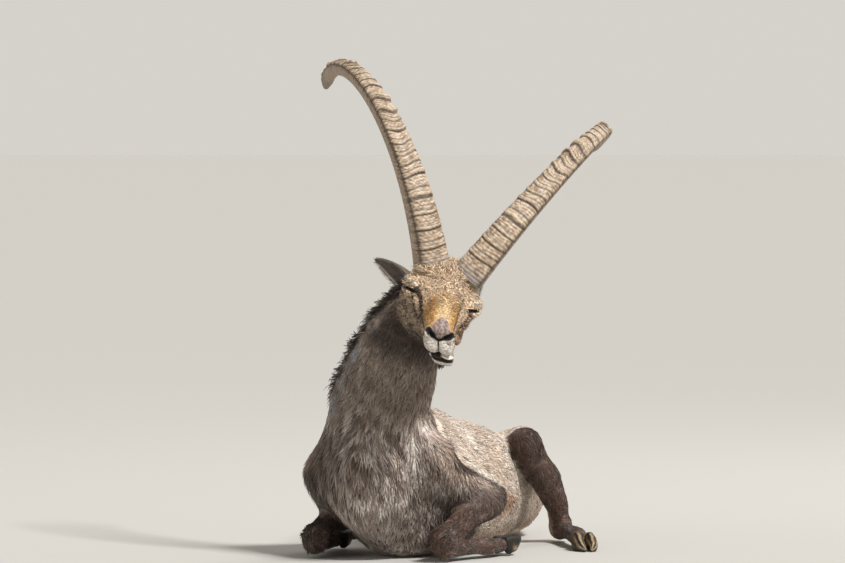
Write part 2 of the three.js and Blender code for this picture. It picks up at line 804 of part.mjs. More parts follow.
// Foreleg below the elbow: the forearm runs forward to the knee, the cannon lies folded back under it
function foreleg(leg, side, torsoSolid) {
  const { elbow, knee } = leg;
  const forearm = legPiece(
    [
      station(elbow, 30, 32),
      station(mix(elbow, knee, 0.2), 34, 37),
      station(mix(elbow, knee, 0.6), 28, 29),
      station(knee, 30, 30),
    ],
    FOREARM_CELL,
    [torsoSolid],
  );
  const fetlock = [elbow[0] + 38, elbow[1] + side * 16, 24];
  const cannonTop = [knee[0] - 4, knee[1] + side * 4, 28];
  const foot = [fetlock[0] - 46, fetlock[1] + side * 5, 22];
  const cannon = legPiece(
    [
      station(cannonTop, 24, 24),
      station(mix(cannonTop, fetlock, 0.5), 16, 18),
      station(fetlock, 21, 21),
      station(foot, 20, 18),
    ],
    FORE_CANNON_CELL,
    [torsoSolid, forearm],
  );
  const toe = unit(sub(foot, fetlock));
  const frame = { origin: add(foot, [-8, 0, 19]), x: toe, y: unit(cross(toe, UP)), z: [0, 0, -1] };
  return { forearm, cannon, frame };
}

// Hind leg: thigh up to the stifle, gaskin down to the hock, cannon forward along the floor
function hindLeg(leg, torsoSolid) {
  const { hip, stifle, hock, calf, cannonTurn } = leg;
  const thigh = legPiece(
    [
      station(mix(hip, stifle, 0.4), 46, 58),
      station(mix(hip, stifle, 0.7), 46, 56),
      station(stifle, 40, 47),
    ],
    THIGH_CELL,
    [torsoSolid],
  );
  const gaskin = legPiece(
    [
      station(mix(stifle, hock, 0.12), 33, 37),
      station(add(mix(stifle, hock, 0.4), calf), 34, 38),
      station(add(mix(stifle, hock, 0.75), calf), 28, 32),
      station(hock, 22, 30),
    ],
    GASKIN_CELL,
    [torsoSolid, thigh],
  );
  const heel = [hock[0], hock[1], 30];
  const fetlock = add(heel, times(heading(cannonTurn, -2), HIND_CANNON_LENGTH));
  const foot = add(fetlock, times(heading(cannonTurn, -10), 40));
  const cannon = legPiece(
    [
      station(heel, 24, 30),
      station(mix(heel, fetlock, 0.5), 17, 20),
      station(fetlock, 22, 22),
      station(foot, 22, 19),
    ],
    HIND_CANNON_CELL,
    [torsoSolid, thigh, gaskin],
  );
  const x = heading(cannonTurn, 0);
  const frame = { origin: [foot[0] + x[0] * 6, foot[1] + x[1] * 6, 0.05], x, y: cross(UP, x), z: UP };
  return { thigh, gaskin, cannon, frame };
}

// The model
const ibex = new THREE.Group();

function addNode(name, solid, colour, roughness = 0.9) {
  const { points, triangles } = meshOf(solid.simplify(FINEST));
  const geometry = new THREE.BufferGeometry();
  geometry.setAttribute("position", new THREE.Float32BufferAttribute(points.flat(), 3));
  geometry.setIndex(triangles.flat());
  geometry.computeVertexNormals();
  const material = new THREE.MeshStandardMaterial({ color: colour, roughness, metalness: 0 });
  const mesh = new THREE.Mesh(geometry, material);
  mesh.name = name;
  ibex.add(mesh);
}

const torsoSolid = torso();
const headSolid = head();
const neckPlain = neckSolid();
const hornLeft = horn(HORN_LEFT, headSolid);
const hornRight = horn(HORN_RIGHT, headSolid);
const earLeft = clearOf(ear(1, EAR_LEFT), headSolid, neckPlain, hornLeft);
const earRight = clearOf(ear(-1, EAR_RIGHT), headSolid, neckPlain, hornRight);

addNode("torso", torsoSolid, COLOURS.flank);
addNode("head", headSolid, COLOURS.face);
addNode("neck", mane(neckPlain, [torsoSolid, headSolid, earLeft, earRight]), COLOURS.neck);
addNode("ear_left", earLeft, COLOURS.ear);
addNode("ear_right", earRight, COLOURS.ear);
addNode("jaw", clearOf(jaw(headSolid), neckPlain), COLOURS.face);
addNode("horn_left", hornLeft, COLOURS.horn, 0.6);
addNode("horn_right", hornRight, COLOURS.horn, 0.6);
addNode("eye_left", eyeball(1), COLOURS.eye, 0.2);
addNode("eye_right", eyeball(-1), COLOURS.eye, 0.2);
addNode("tail", tail(torsoSolid), COLOURS.leg);

for (const [side, name, leg] of [[1, "left", LEFT_FORE], [-1, "right", RIGHT_FORE]]) {
  const { forearm, cannon, frame } = foreleg(leg, side, torsoSolid);
  addNode(`foreleg_${name}_forearm`, forearm, COLOURS.leg);
  addNode(`foreleg_${name}_cannon`, cannon, COLOURS.leg);
  for (const [which, hand] of [["outer", 1], ["inner", -1]]) {
    const toe = clearOf(onFloor(claw(frame, hand, FORE_CLAW_LENGTH)), cannon, forearm, torsoSolid);
    addNode(`foreleg_${name}_claw_${which}`, toe, COLOURS.hoof, 0.5);
  }
}

for (const [name, leg] of [["left", LEFT_HIND], ["right", RIGHT_HIND]]) {
  const { thigh, gaskin, cannon, frame } = hindLeg(leg, torsoSolid);
  addNode(`hindleg_${name}_thigh`, thigh, COLOURS.leg);
  addNode(`hindleg_${name}_gaskin`, gaskin, COLOURS.leg);
  addNode(`hindleg_${name}_cannon`, cannon, COLOURS.leg);
  for (const [which, hand] of [["outer", 1], ["inner", -1]]) {
    const toe = clearOf(onFloor(claw(frame, hand, HIND_CLAW_LENGTH)), cannon, torsoSolid);
    addNode(`hindleg_${name}_claw_${which}`, toe, COLOURS.hoof, 0.5);
  }
}

export default ibex;
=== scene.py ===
"""Alpine ibex at rest: the coat, skin, horns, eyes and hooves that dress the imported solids.

Shapes are worked out in millimetres, in the model's own frame: +X along the trunk to the chest, +Y to
the animal's left, +Z up. Flesh is a distance field, meshed as one skin; fur is solid tufts over it.
"""

import logging
import math
from collections.abc import Callable
from dataclasses import dataclass, field, replace
from enum import Enum

import bpy
import numpy as np
from mathutils import Matrix, Vector

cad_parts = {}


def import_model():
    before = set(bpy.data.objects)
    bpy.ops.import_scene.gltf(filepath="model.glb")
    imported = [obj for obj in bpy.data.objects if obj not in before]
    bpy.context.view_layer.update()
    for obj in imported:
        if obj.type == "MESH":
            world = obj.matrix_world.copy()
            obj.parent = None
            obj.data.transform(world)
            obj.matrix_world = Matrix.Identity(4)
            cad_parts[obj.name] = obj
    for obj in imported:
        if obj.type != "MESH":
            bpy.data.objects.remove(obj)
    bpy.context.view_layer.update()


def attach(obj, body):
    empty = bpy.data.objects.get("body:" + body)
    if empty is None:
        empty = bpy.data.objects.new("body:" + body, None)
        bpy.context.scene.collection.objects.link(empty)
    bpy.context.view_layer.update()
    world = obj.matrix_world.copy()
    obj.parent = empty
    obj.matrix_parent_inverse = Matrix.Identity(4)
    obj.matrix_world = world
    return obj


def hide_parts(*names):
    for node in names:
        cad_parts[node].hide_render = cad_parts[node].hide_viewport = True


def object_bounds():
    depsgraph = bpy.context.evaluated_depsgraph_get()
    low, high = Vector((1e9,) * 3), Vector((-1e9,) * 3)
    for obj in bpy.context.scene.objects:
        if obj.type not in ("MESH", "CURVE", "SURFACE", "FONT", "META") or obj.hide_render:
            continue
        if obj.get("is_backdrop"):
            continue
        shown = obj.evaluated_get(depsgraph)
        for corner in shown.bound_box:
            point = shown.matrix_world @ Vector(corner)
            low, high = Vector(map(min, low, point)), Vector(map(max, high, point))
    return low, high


LOG = logging.getLogger("ibex")
Array = np.ndarray
Field = Callable[[Array], Array]

METRES = 0.001  # in a millimetre
FLOOR = 0.6  # the lowest height of skin and fur, in millimetres
PATCH = 0.003  # size of a tuft's patch on the OFBake map
UP = np.array([0.0, 0.0, 1.0])

# How the head is held
HEAD_PLACE = (218.0, 176.0, 530.0)
HEAD_TURN = 23.0
HEAD_NOD = 19.0
HEAD_TILT = 15.0
EYE_PLACE = (2.0, 53.0, 0.0)  # of the left eye, in the head's frame
EYE_RADIUS = 15.0

# How the face differs from an even one
SWAY_FROM = -20.0  # height in the head's frame below which the face leans to the left
SWAY = 0.36  # how much it leans, at most, for each millimetre
CHEW = 5.0  # by which the front of the jaw is moved further to the left
EYE_OUT = 9.0  # by which the right eye and brow lie further out
EYE_UP = 6.0  # by which they lie higher, and the left ones lower
CHEEK_IN = 9.0  # by which the left cheek is flatter


# Vectors and frames


def point(*xyz: float) -> Array:
    """A place or a direction."""
    return np.array(xyz, float)


def unit(v: Array) -> Array:
    """Vectors along the last axis, scaled to length one."""
    return v / np.maximum(np.linalg.norm(v, axis=-1, keepdims=True), 1e-9)


def heading(turn: float, rise: float) -> Array:
    """The unit vector that points turn degrees to the left and rise degrees up."""
    a, b = math.radians(turn), math.radians(rise)
    return point(math.cos(b) * math.cos(a), math.cos(b) * math.sin(a), math.sin(b))


def flattened(v: Array, normal: Array) -> Array:
    """Vectors with their part along unit normals taken out: v - n (v.n)."""
    return v - normal * np.einsum("ij,ij->i", v, normal)[:, None]


def smooth(low: float, high: float, v: Array) -> Array:
    """A step from 0 at low to 1 at high, with the cubic 3t^2 - 2t^3 between."""
    t = np.clip((v - low) / (high - low), 0.0, 1.0)
    return t * t * (3.0 - 2.0 * t)


@dataclass(frozen=True)
class Frame:
    """An origin with three unit axes, the rows of axes."""

    origin: Array
    axes: Array

    @classmethod
    def at(cls, origin: Array, forward: Array, hint: Array, tilt: float = 0.0) -> "Frame":
        """A frame with x forward, y level and to the left, and z towards the hint.

        Args:
            origin: where the frame stands.
            forward: the way of x.
            hint: the way taken as up.
            tilt: degrees by which y is turned down about x.

        Returns:
            The frame.
        """
        x = unit(np.asarray(forward, float))
        level = unit(np.cross(hint, x))
        rise = np.cross(x, level)
        c, s = math.cos(math.radians(tilt)), math.sin(math.radians(tilt))
        y = level * c - rise * s
        return cls(np.asarray(origin, float), np.stack([x, y, np.cross(x, y)]))

    def place(self, q: Array) -> Array:
        """Points of this frame in the model's frame."""
        return self.origin + np.asarray(q, float) @ self.axes

    def turn(self, v: Array) -> Array:
        """Directions of this frame in the model's frame."""
        return np.asarray(v, float) @ self.axes

    def local(self, p: Array) -> Array:
        """Points of the model's frame in this frame."""
        return (p - self.origin) @ self.axes.T


HEAD = Frame.at(HEAD_PLACE, heading(HEAD_TURN, -HEAD_NOD), UP, HEAD_TILT)


def shift(q: Array) -> Array:
    """How far the face's features lie from those of an even head, in the head's frame.

    The lower face leans to the left by s^2/(s + 16) of the drop s, and the jaw a little more; the left
    cheek is flatter; the right eye and brow lie further out and higher, and the left ones lower.

    Args:
        q: points.

    Returns:
        What to add to points of an even head.
    """
    x, y, z = q[..., 0], q[..., 1], q[..., 2]
    drop = np.maximum(SWAY_FROM - z, 0.0)
    lean = SWAY * drop * drop / (drop + 16.0) * smooth(-70.0, 20.0, x)
    lean = lean + CHEW * smooth(40.0, 110.0, x) * smooth(-50.0, -66.0, z)
    eyes = smooth(-95.0, -55.0, x) * smooth(75.0, 35.0, x) * smooth(-50.0, -15.0, z) * smooth(52.0, 28.0, z)
    right, left = smooth(-18.0, -58.0, y), smooth(18.0, 58.0, y)
    cheek = smooth(-90.0, -50.0, x) * smooth(100.0, 60.0, x) * smooth(-22.0, -50.0, z)
    across = lean - EYE_OUT * eyes * right - CHEEK_IN * cheek * left
    return np.stack([0.0 * x, across, EYE_UP * eyes * (right - left)], axis=-1)


def to_head(p: Array) -> Array:
    """Points of the model's frame in the frame of an even head."""
    q = HEAD.local(p)
    return q - shift(q)


def from_head(q: Array) -> Array:
    """The way back from to_head, by repeating m = q + shift(m).

    Args:
        q: points of an even head.

    Returns:
        Points of the model's frame.
    """
    even = np.array(q, float)
    moved = even
    for _ in range(12):
        moved = even + shift(moved)
    return HEAD.place(moved)


def folded(q: Array) -> Array:
    """Points of the head's frame, all brought to its left side."""
    return np.stack([q[:, 0], np.abs(q[:, 1]), q[:, 2]], axis=1)


def on_path(path: Array, share: Array) -> Array:
    """The places at shares of a path of straight spans, each span taken as equally long."""
    spans = len(path) - 1
    return np.stack([np.interp(share * spans, np.arange(spans + 1), path[:, i]) for i in range(3)], axis=1)


def along_path(p: Array, path: Array, normals: Array | None = None) -> tuple[Array, Array]:
    """How far points lie from a path of straight spans, and how far along it their nearest place is.

    Args:
        p: points.
        path: the corners of the path.
        normals: of the skin at the corners, where distances are wanted along the skin only.

    Returns:
        Distances, and places along the path from 0 to 1.
    """
    skin_reach = 26.0  # beyond this, distances are plain ones again
    best, share, along = np.full(len(p), np.inf), np.zeros(len(p)), np.full(len(p), np.inf)
    spans = len(path) - 1
    for i in range(spans):
        span = path[i + 1] - path[i]
        t = np.clip((p - path[i]) @ span / (span @ span), 0.0, 1.0)
        q = p - path[i] - t[:, None] * span
        far = np.linalg.norm(q, axis=1)
        nearer = far < best
        best = np.where(nearer, far, best)
        share = np.where(nearer, (i + t) / spans, share)
        if normals is not None:
            q = flattened(q, unit(normals[i] * (1 - t[:, None]) + normals[i + 1] * t[:, None]))
            along = np.where(nearer, np.linalg.norm(q, axis=1), along)
    if normals is not None:
        best = np.where(best < skin_reach, along, best)
    return best, share


def noise(p: Array, size: float, seed: int) -> Array:
    """Smooth noise from 0 to 1: the mean of waves whose ways and starts are drawn from the seed.

    Args:
        p: points.
        size: about how wide a patch is.
        seed: of the draw.

    Returns:
        The noise at each point.
    """
    rng = np.random.default_rng(seed)
    ways = unit(rng.normal(size=(9, 3))) * (math.tau / size) * rng.uniform(0.5, 1.3, (9, 1))
    waves = np.sin(p @ ways.T + rng.uniform(0, math.tau, 9))
    return np.clip(0.5 + waves.sum(axis=1) / 7.0, 0.0, 1.0)


def curls(q: Array) -> Array:
    """The wavy rows of curls across the forehead: 1 between two rows and -1 on a row, 11 mm apart."""
    along = 0.9 * q[:, 0] - 0.5 * q[:, 2] + 0.12 * np.abs(q[:, 1]) + 14.0 * noise(q, 30, 6)
    return np.sin(math.tau * along / 11.0) * (0.35 + 0.65 * noise(q, 17, 20))


# Fields: each gives, for points, about how far they lie outside the skin


def ellipsoid(centre: tuple, radii: tuple) -> Field:
    """An ellipsoid, with the distance r(1 - 1/k) along the ray from its centre.

    Args:
        centre: its middle.
        radii: its three half lengths.

    Returns:
        The field.
    """
    middle, half = point(*centre), point(*radii)

    def value(p: Array) -> Array:
        """The field at points."""
        q = p - middle
        k = np.maximum(np.linalg.norm(q / half, axis=1), 1e-6)
        return np.linalg.norm(q, axis=1) * (1.0 - 1.0 / k)

    return value


@dataclass(frozen=True)
class Station:
    """An oval section of a bar: its place, half width, half depth and roll in degrees."""

    at: tuple | Array
    across: float
    deep: float
    roll: float = 0.0


def spaced(start: Array, end: Array, *sections: tuple[float, float, float]) -> list[Station]:
    """Stations on a straight line.

    Args:
        start: where the line starts.
        end: where it ends.
        sections: the share of the way, the half width and the half depth of each station.

    Returns:
        The stations.
    """
    return [Station(start * (1 - t) + end * t, across, deep) for t, across, deep in sections]


def bar(*stations: Station, hint: Array = UP) -> Field:
    """A bar of oval section: on each span the section is interpolated, and the spans' least counts.

    Args:
        stations: its sections in order.
        hint: the way taken as up.

    Returns:
        The field.
    """
    places = [np.asarray(s.at, float) for s in stations]
    last = len(stations) - 1
    frames = [
        Frame.at(places[i], places[min(i + 1, last)] - places[max(i - 1, 0)], hint, stations[i].roll)
        for i in range(last + 1)
    ]

    def value(p: Array) -> Array:
        """The field at points."""
        best = np.full(len(p), np.inf)
        for i in range(last):
            span = places[i + 1] - places[i]
            t = np.clip((p - places[i]) @ span / (span @ span), 0.0, 1.0)
            q = p - places[i] - t[:, None] * span
            a, b = frames[i].axes, frames[i + 1].axes
            side = (q @ a[1]) * (1 - t) + (q @ b[1]) * t
            rise = (q @ a[2]) * (1 - t) + (q @ b[2]) * t
            across = stations[i].across * (1 - t) + stations[i + 1].across * t
            deep = stations[i].deep * (1 - t) + stations[i + 1].deep * t
            square = np.einsum("ij,ij->i", q, q)
            along = np.maximum(square - side**2 - rise**2, 0.0)
            k = np.sqrt((side / across) ** 2 + (rise / deep) ** 2 + along / np.minimum(across, deep) ** 2)
            best = np.minimum(best, np.sqrt(square) * (1.0 - 1.0 / np.maximum(k, 1e-6)))
        return best

    return value


def blend(reach: float, *fields: Field) -> Field:
    """Joins fields: the least of them, less a quarter of reach times the square of their nearness.

    Args:
        reach: how near to each other two skins begin to flow together.
        fields: the forms, joined in order.

    Returns:
        The field.
    """

    def value(p: Array) -> Array:
        """The field at points."""
        total = fields[0](p)
        for other in fields[1:]:
            v = other(p)
            h = np.maximum(reach - np.abs(total - v), 0.0) / reach
            total = np.minimum(total, v) - h * h * reach / 4.0
        return total

    return value


def mirrored(form: Field) -> Field:
    """The same form on both sides of the middle plane y = 0."""
    return lambda p: form(folded(p))


def in_head(form: Field) -> Field:
    """A form given in the head's frame, as one in the model's frame."""
    return lambda p: form(to_head(p))


def slope(form: Field, p: Array, step: float = 0.4) -> Array:
    """The gradient of a field, by central differences."""
    shifts = np.eye(3) * step
    return np.stack([(form(p + s) - form(p - s)) / (2 * step) for s in shifts], axis=1)


def settle(form: Field, p: Array, reach: float, rounds: int = 2) -> Array:
    """Moves points onto the skin by Newton steps p - f g / |g|^2.

    Args:
        form: the field.
        p: points near its skin.
        reach: the longest step.
        rounds: how many steps.

    Returns:
        The points on the skin.
    """
    for _ in range(rounds):
        g = slope(form, p)
        steep = np.maximum(np.einsum("ij,ij->i", g, g), 0.08)
        move = -g * (form(p) / steep)[:, None]
        far = np.linalg.norm(move, axis=1, keepdims=True)
        p = p + move * np.minimum(1.0, reach / np.maximum(far, 1e-9))
    return p


@dataclass(frozen=True)
class Stroke:
    """A furrow, a raised line or a painted line on the skin, along a path."""

    path: list | Array
    width: float
    height: float  # above the skin, negative for a furrow
    both_sides: bool = False
    normals: Array | None = None

    def laid(self, form: Field, pace: float = 5.0) -> "Stroke":
        """Cuts the path into short spans and lays it onto a form's skin.

        Args:
            form: the form.
            pace: about how long a span is.

        Returns:
            The stroke on the skin.
        """
        corners = np.asarray(self.path, float)
        run = np.concatenate([[0.0], np.cumsum(np.linalg.norm(np.diff(corners, axis=0), axis=1))])
        places = np.linspace(0.0, run[-1], max(4, int(run[-1] / pace)))
        path = np.stack([np.interp(places, run, corners[:, i]) for i in range(3)], axis=1)
        path = settle(form, path, 6.0, 8)
        return replace(self, path=path, normals=unit(slope(form, path)))

    def far(self, q: Array) -> Array:
        """How far along the skin points lie from the path."""
        return along_path(folded(q) if self.both_sides else q, np.asarray(self.path), self.normals)[0]

    def paint(self, q: Array, width: float) -> Array:
        """How strongly the line colours points: 1 within 0.7 of the width, and 0 beyond 1.3 of it."""
        return smooth(1.3 * width, 0.7 * width, self.far(q))

    def relief(self, p: Array) -> Array:
        """The height times exp(-(distance/width)^2), lower at both ends of the path.

        Args:
            p: points.

        Returns:
            How far the skin is raised at each.
        """
        q = folded(p) if self.both_sides else p
        result = np.zeros(len(p))
        path = np.asarray(self.path, float)
        low, high = path.min(0) - 3 * self.width - 14, path.max(0) + 3 * self.width + 14
        near = np.flatnonzero(np.all((q > low) & (q < high), axis=1))
        if len(near):
            far, share = along_path(q[near], path, self.normals)
            fade = smooth(0.0, 0.18, share) * smooth(0.0, 0.18, 1.0 - share)
            result[near] = self.height * np.exp(-((far / self.width) ** 2)) * (0.35 + 0.65 * fade)
        return result


def with_strokes(form: Field, strokes: list[Stroke]) -> Field:
    """A form with strokes raised from it or cut into it.

    Args:
        form: the form.
        strokes: the strokes, laid on it.

    Returns:
        The field.
    """

    def value(p: Array) -> Array:
        """The field at points."""
        total = form(p)
        for stroke in strokes:
            total = total - stroke.relief(p)
        return total

    return value


# Body


@dataclass(frozen=True)
class ForeLimb:
    """A foreleg folded under the chest: its knee forward on the floor, its cannon back under the forearm."""

    side: int
    blade: Array
    shoulder: Array
    elbow: Array
    knee: Array

    def foot(self) -> tuple[Array, Array]:
        """The fetlock and the foot."""
        fetlock = point(self.elbow[0] + 38, self.elbow[1] + self.side * 16, 24.0)
        return fetlock, fetlock + point(-46.0, self.side * 5.0, -2.0)

    def line(self) -> Array:
        """The path about which the leg is unwrapped."""
        return np.array([self.elbow, self.knee])

    def root(self) -> Field:
        """The flesh of the shoulder blade and the upper arm."""
        blade = bar(*spaced(self.blade, self.shoulder, (0, 44, 50), (1, 52, 54)))
        arm = bar(*spaced(self.shoulder, self.elbow, (0, 54, 58), (0.5, 50, 56), (1, 40, 46)))
        return blend(24, blade, arm)

    def flesh(self) -> Field:
        """The forearm, running forward to the knee, and the cannon folded back under it.

        Returns:
            The field.
        """
        sections = ((0, 29, 31), (0.2, 33, 36), (0.6, 26, 28), (0.86, 24, 25), (1, 29, 29))
        fetlock, foot = self.foot()
        top = point(self.knee[0] - 4, self.knee[1] + self.side * 4, 28.0)
        cannon = bar(
            *spaced(top, fetlock, (0, 23, 23), (0.25, 17, 19), (0.65, 15, 17), (1, 20, 20)),
            *spaced(fetlock, foot, (0.6, 17, 16), (1, 19, 17)),
        )
        return blend(10, bar(*spaced(self.elbow, self.knee, *sections)), cannon)

    def hair_way(self, p: Array) -> Array:
        """Along the forearm to the knee above, and back along the cannon below it."""
        lower = smooth(46.0, 34.0, p[:, 2])[:, None]
        return unit(self.knee - self.elbow) * (1 - lower) + point(-1.0, 0.0, -0.05) * lower


@dataclass(frozen=True)
class HindLimb:
    """A hind leg with its heel on the floor and its foot forward."""

    side: int
    hip: Array
    stifle: Array
    hock: Array
    turn: float  # degrees to the left, of the foot
    haunch: tuple[float, float]  # half its width and depth at the hip
    calf: Array  # how far the gaskin bulges from its line
    cannon: float = 168.0

    def foot(self) -> tuple[Array, Array, Array]:
        """The heel, the fetlock and the foot."""
        heel = point(self.hock[0], self.hock[1], 30.0)
        fetlock = heel + heading(self.turn, -2) * self.cannon
        return heel, fetlock, fetlock + heading(self.turn, -10) * 40

    def toe(self) -> Array:
        """The tip of the toes, level with the hock."""
        return self.hock + heading(self.turn, 0) * 200

    def line(self) -> Array:
        """The path about which the leg is unwrapped."""
        return np.array([self.hip, self.stifle, self.hock])

    def root(self) -> Field:
        """The flesh from the rump over the hip to the middle of the thigh.

        Returns:
            The field.
        """
        across, deep = self.haunch
        rump = self.hip + point(-78, -14 * self.side, -38)
        thigh = spaced(self.hip, self.stifle, (0, across, deep), (0.5, 0.86 * across, 0.84 * deep))
        return bar(Station(rump, 0.8 * across, 0.76 * deep), *thigh)

    def flesh(self) -> Field:
        """The thigh to the stifle, the gaskin down to the hock and the cannon forward along the floor.

        Returns:
            The field.
        """
        thigh = bar(*spaced(self.hip, self.stifle, (0.4, 45, 57), (0.7, 45, 55), (1, 38, 45)))
        shin = spaced(self.stifle, self.hock, (0.12, 32, 36), (0.4, 34, 37), (0.75, 26, 30), (1, 21, 29))
        shin[1:3] = [replace(station, at=station.at + self.calf) for station in shin[1:3]]
        heel, fetlock, foot = self.foot()
        cannon = bar(
            *spaced(heel, fetlock, (0, 23, 28), (0.25, 17, 20), (0.6, 15, 18), (1, 21, 21)),
            *spaced(fetlock, foot, (0.6, 18, 17), (1, 21, 18)),
        )
        return blend(14, thigh, bar(*shin), cannon)

    def hair_way(self, p: Array) -> Array:
        """Along the thigh to the stifle, down the gaskin to the hock, then forward to the toes.

        Args:
            p: points of the skin.

        Returns:
            Directions.
        """
        _, share = along_path(p, np.array([self.hip, self.stifle, self.hock, self.toe()]))
        thigh, gaskin = unit(self.stifle - self.hip), unit(self.hock - self.stifle)
        first = smooth(0.28, 0.38, share)[:, None]
        second = smooth(0.62, 0.70, share)[:, None]
        return (thigh * (1 - first) + gaskin * first) * (1 - second) + heading(self.turn, -3) * second


class Part(Enum):
    """The parts of the coat, each with its own lie of hair."""

    TRUNK = 0
    NECK = 1
    HEAD = 2
    FORE_LEFT = 3
    FORE_RIGHT = 4
    HIND_LEFT = 5
    HIND_RIGHT = 6
    TAIL = 7


LIMBS = {
    Part.FORE_LEFT: ForeLimb(
        side=1,
        blade=point(-78, 2, 240),
        shoulder=point(88, 74, 196),
        elbow=point(-62, 146, 116),
        knee=point(118, 126, 46),
    ),
    Part.FORE_RIGHT: ForeLimb(
        side=-1,
        blade=point(-72, -104, 222),
        shoulder=point(84, -134, 168),
        elbow=point(-50, -178, 86),
        knee=point(130, -150, 46),
    ),
    Part.HIND_LEFT: HindLimb(
        side=1,
        hip=point(-505, 14, 160),
        stifle=point(-305, 122, 206),
        hock=point(-462, 130, 38),
        turn=36.0,
        haunch=(54.0, 76.0),
        calf=point(-5, 10, 0),
    ),
    Part.HIND_RIGHT: HindLimb(
        side=-1,
        hip=point(-505, -106, 76),
        stifle=point(-335, -186, 74),
        hock=point(-560, -252, 38),
        turn=-14.0,
        haunch=(66.0, 86.0),
        calf=point(0, 0, 0),
    ),
}
FORE_LIMBS = {"left": LIMBS[Part.FORE_LEFT], "right": LIMBS[Part.FORE_RIGHT]}
HIND_LIMBS = {"left": LIMBS[Part.HIND_LEFT], "right": LIMBS[Part.HIND_RIGHT]}
BEHIND_CHEEK = [(-86, -66, 8), (-84, -74, -40), (-64, -66, -84), (-30, -44, -106), (10, -16, -110)]

NECK_SPINE = np.array(
    [(30, -62, 236), (78, -30, 310), (106, 7, 378), (130, 46, 445), (145, 95, 508), (153, 148, 556)], float
)
NECK_BACK = point(-0.6, -0.75, 0.2)  # the way to the mane
NECK_WIDTHS = (100, 100, 93, 80, 64, 46)
NECK_DEPTHS = (116, 108, 99, 86, 72, 50)
NECK_WAY = unit(NECK_SPINE[4] - NECK_SPINE[1])
MANE_SIDE = unit(np.cross(point(-0.3, -0.93, 0.2), NECK_WAY))  # across the middle of the long hair
MANE_BACK = np.cross(NECK_WAY, MANE_SIDE)
TRUNK = [
    Station((150, -24, 190), 68, 84, 12),
    Station((96, -28, 172), 110, 132, 14),
    Station((0, -24, 152), 134, 160, 17),
    Station((-120, -14, 141), 140, 148, 20),
    Station((-240, -10, 130), 138, 137, 22),
    Station((-350, -26, 120), 122, 126, 26),
    Station((-450, -44, 113), 112, 118, 32),
    Station((-550, -60, 104), 98, 110, 38),
    Station((-625, -74, 96), 75, 89, 42),
]
TAIL = [
    Station((-640, -72, 124), 28, 24),
    Station((-706, -88, 100), 22, 15),
    Station((-738, -96, 68), 15, 10),
    Station((-752, -100, 50), 8, 7),
]


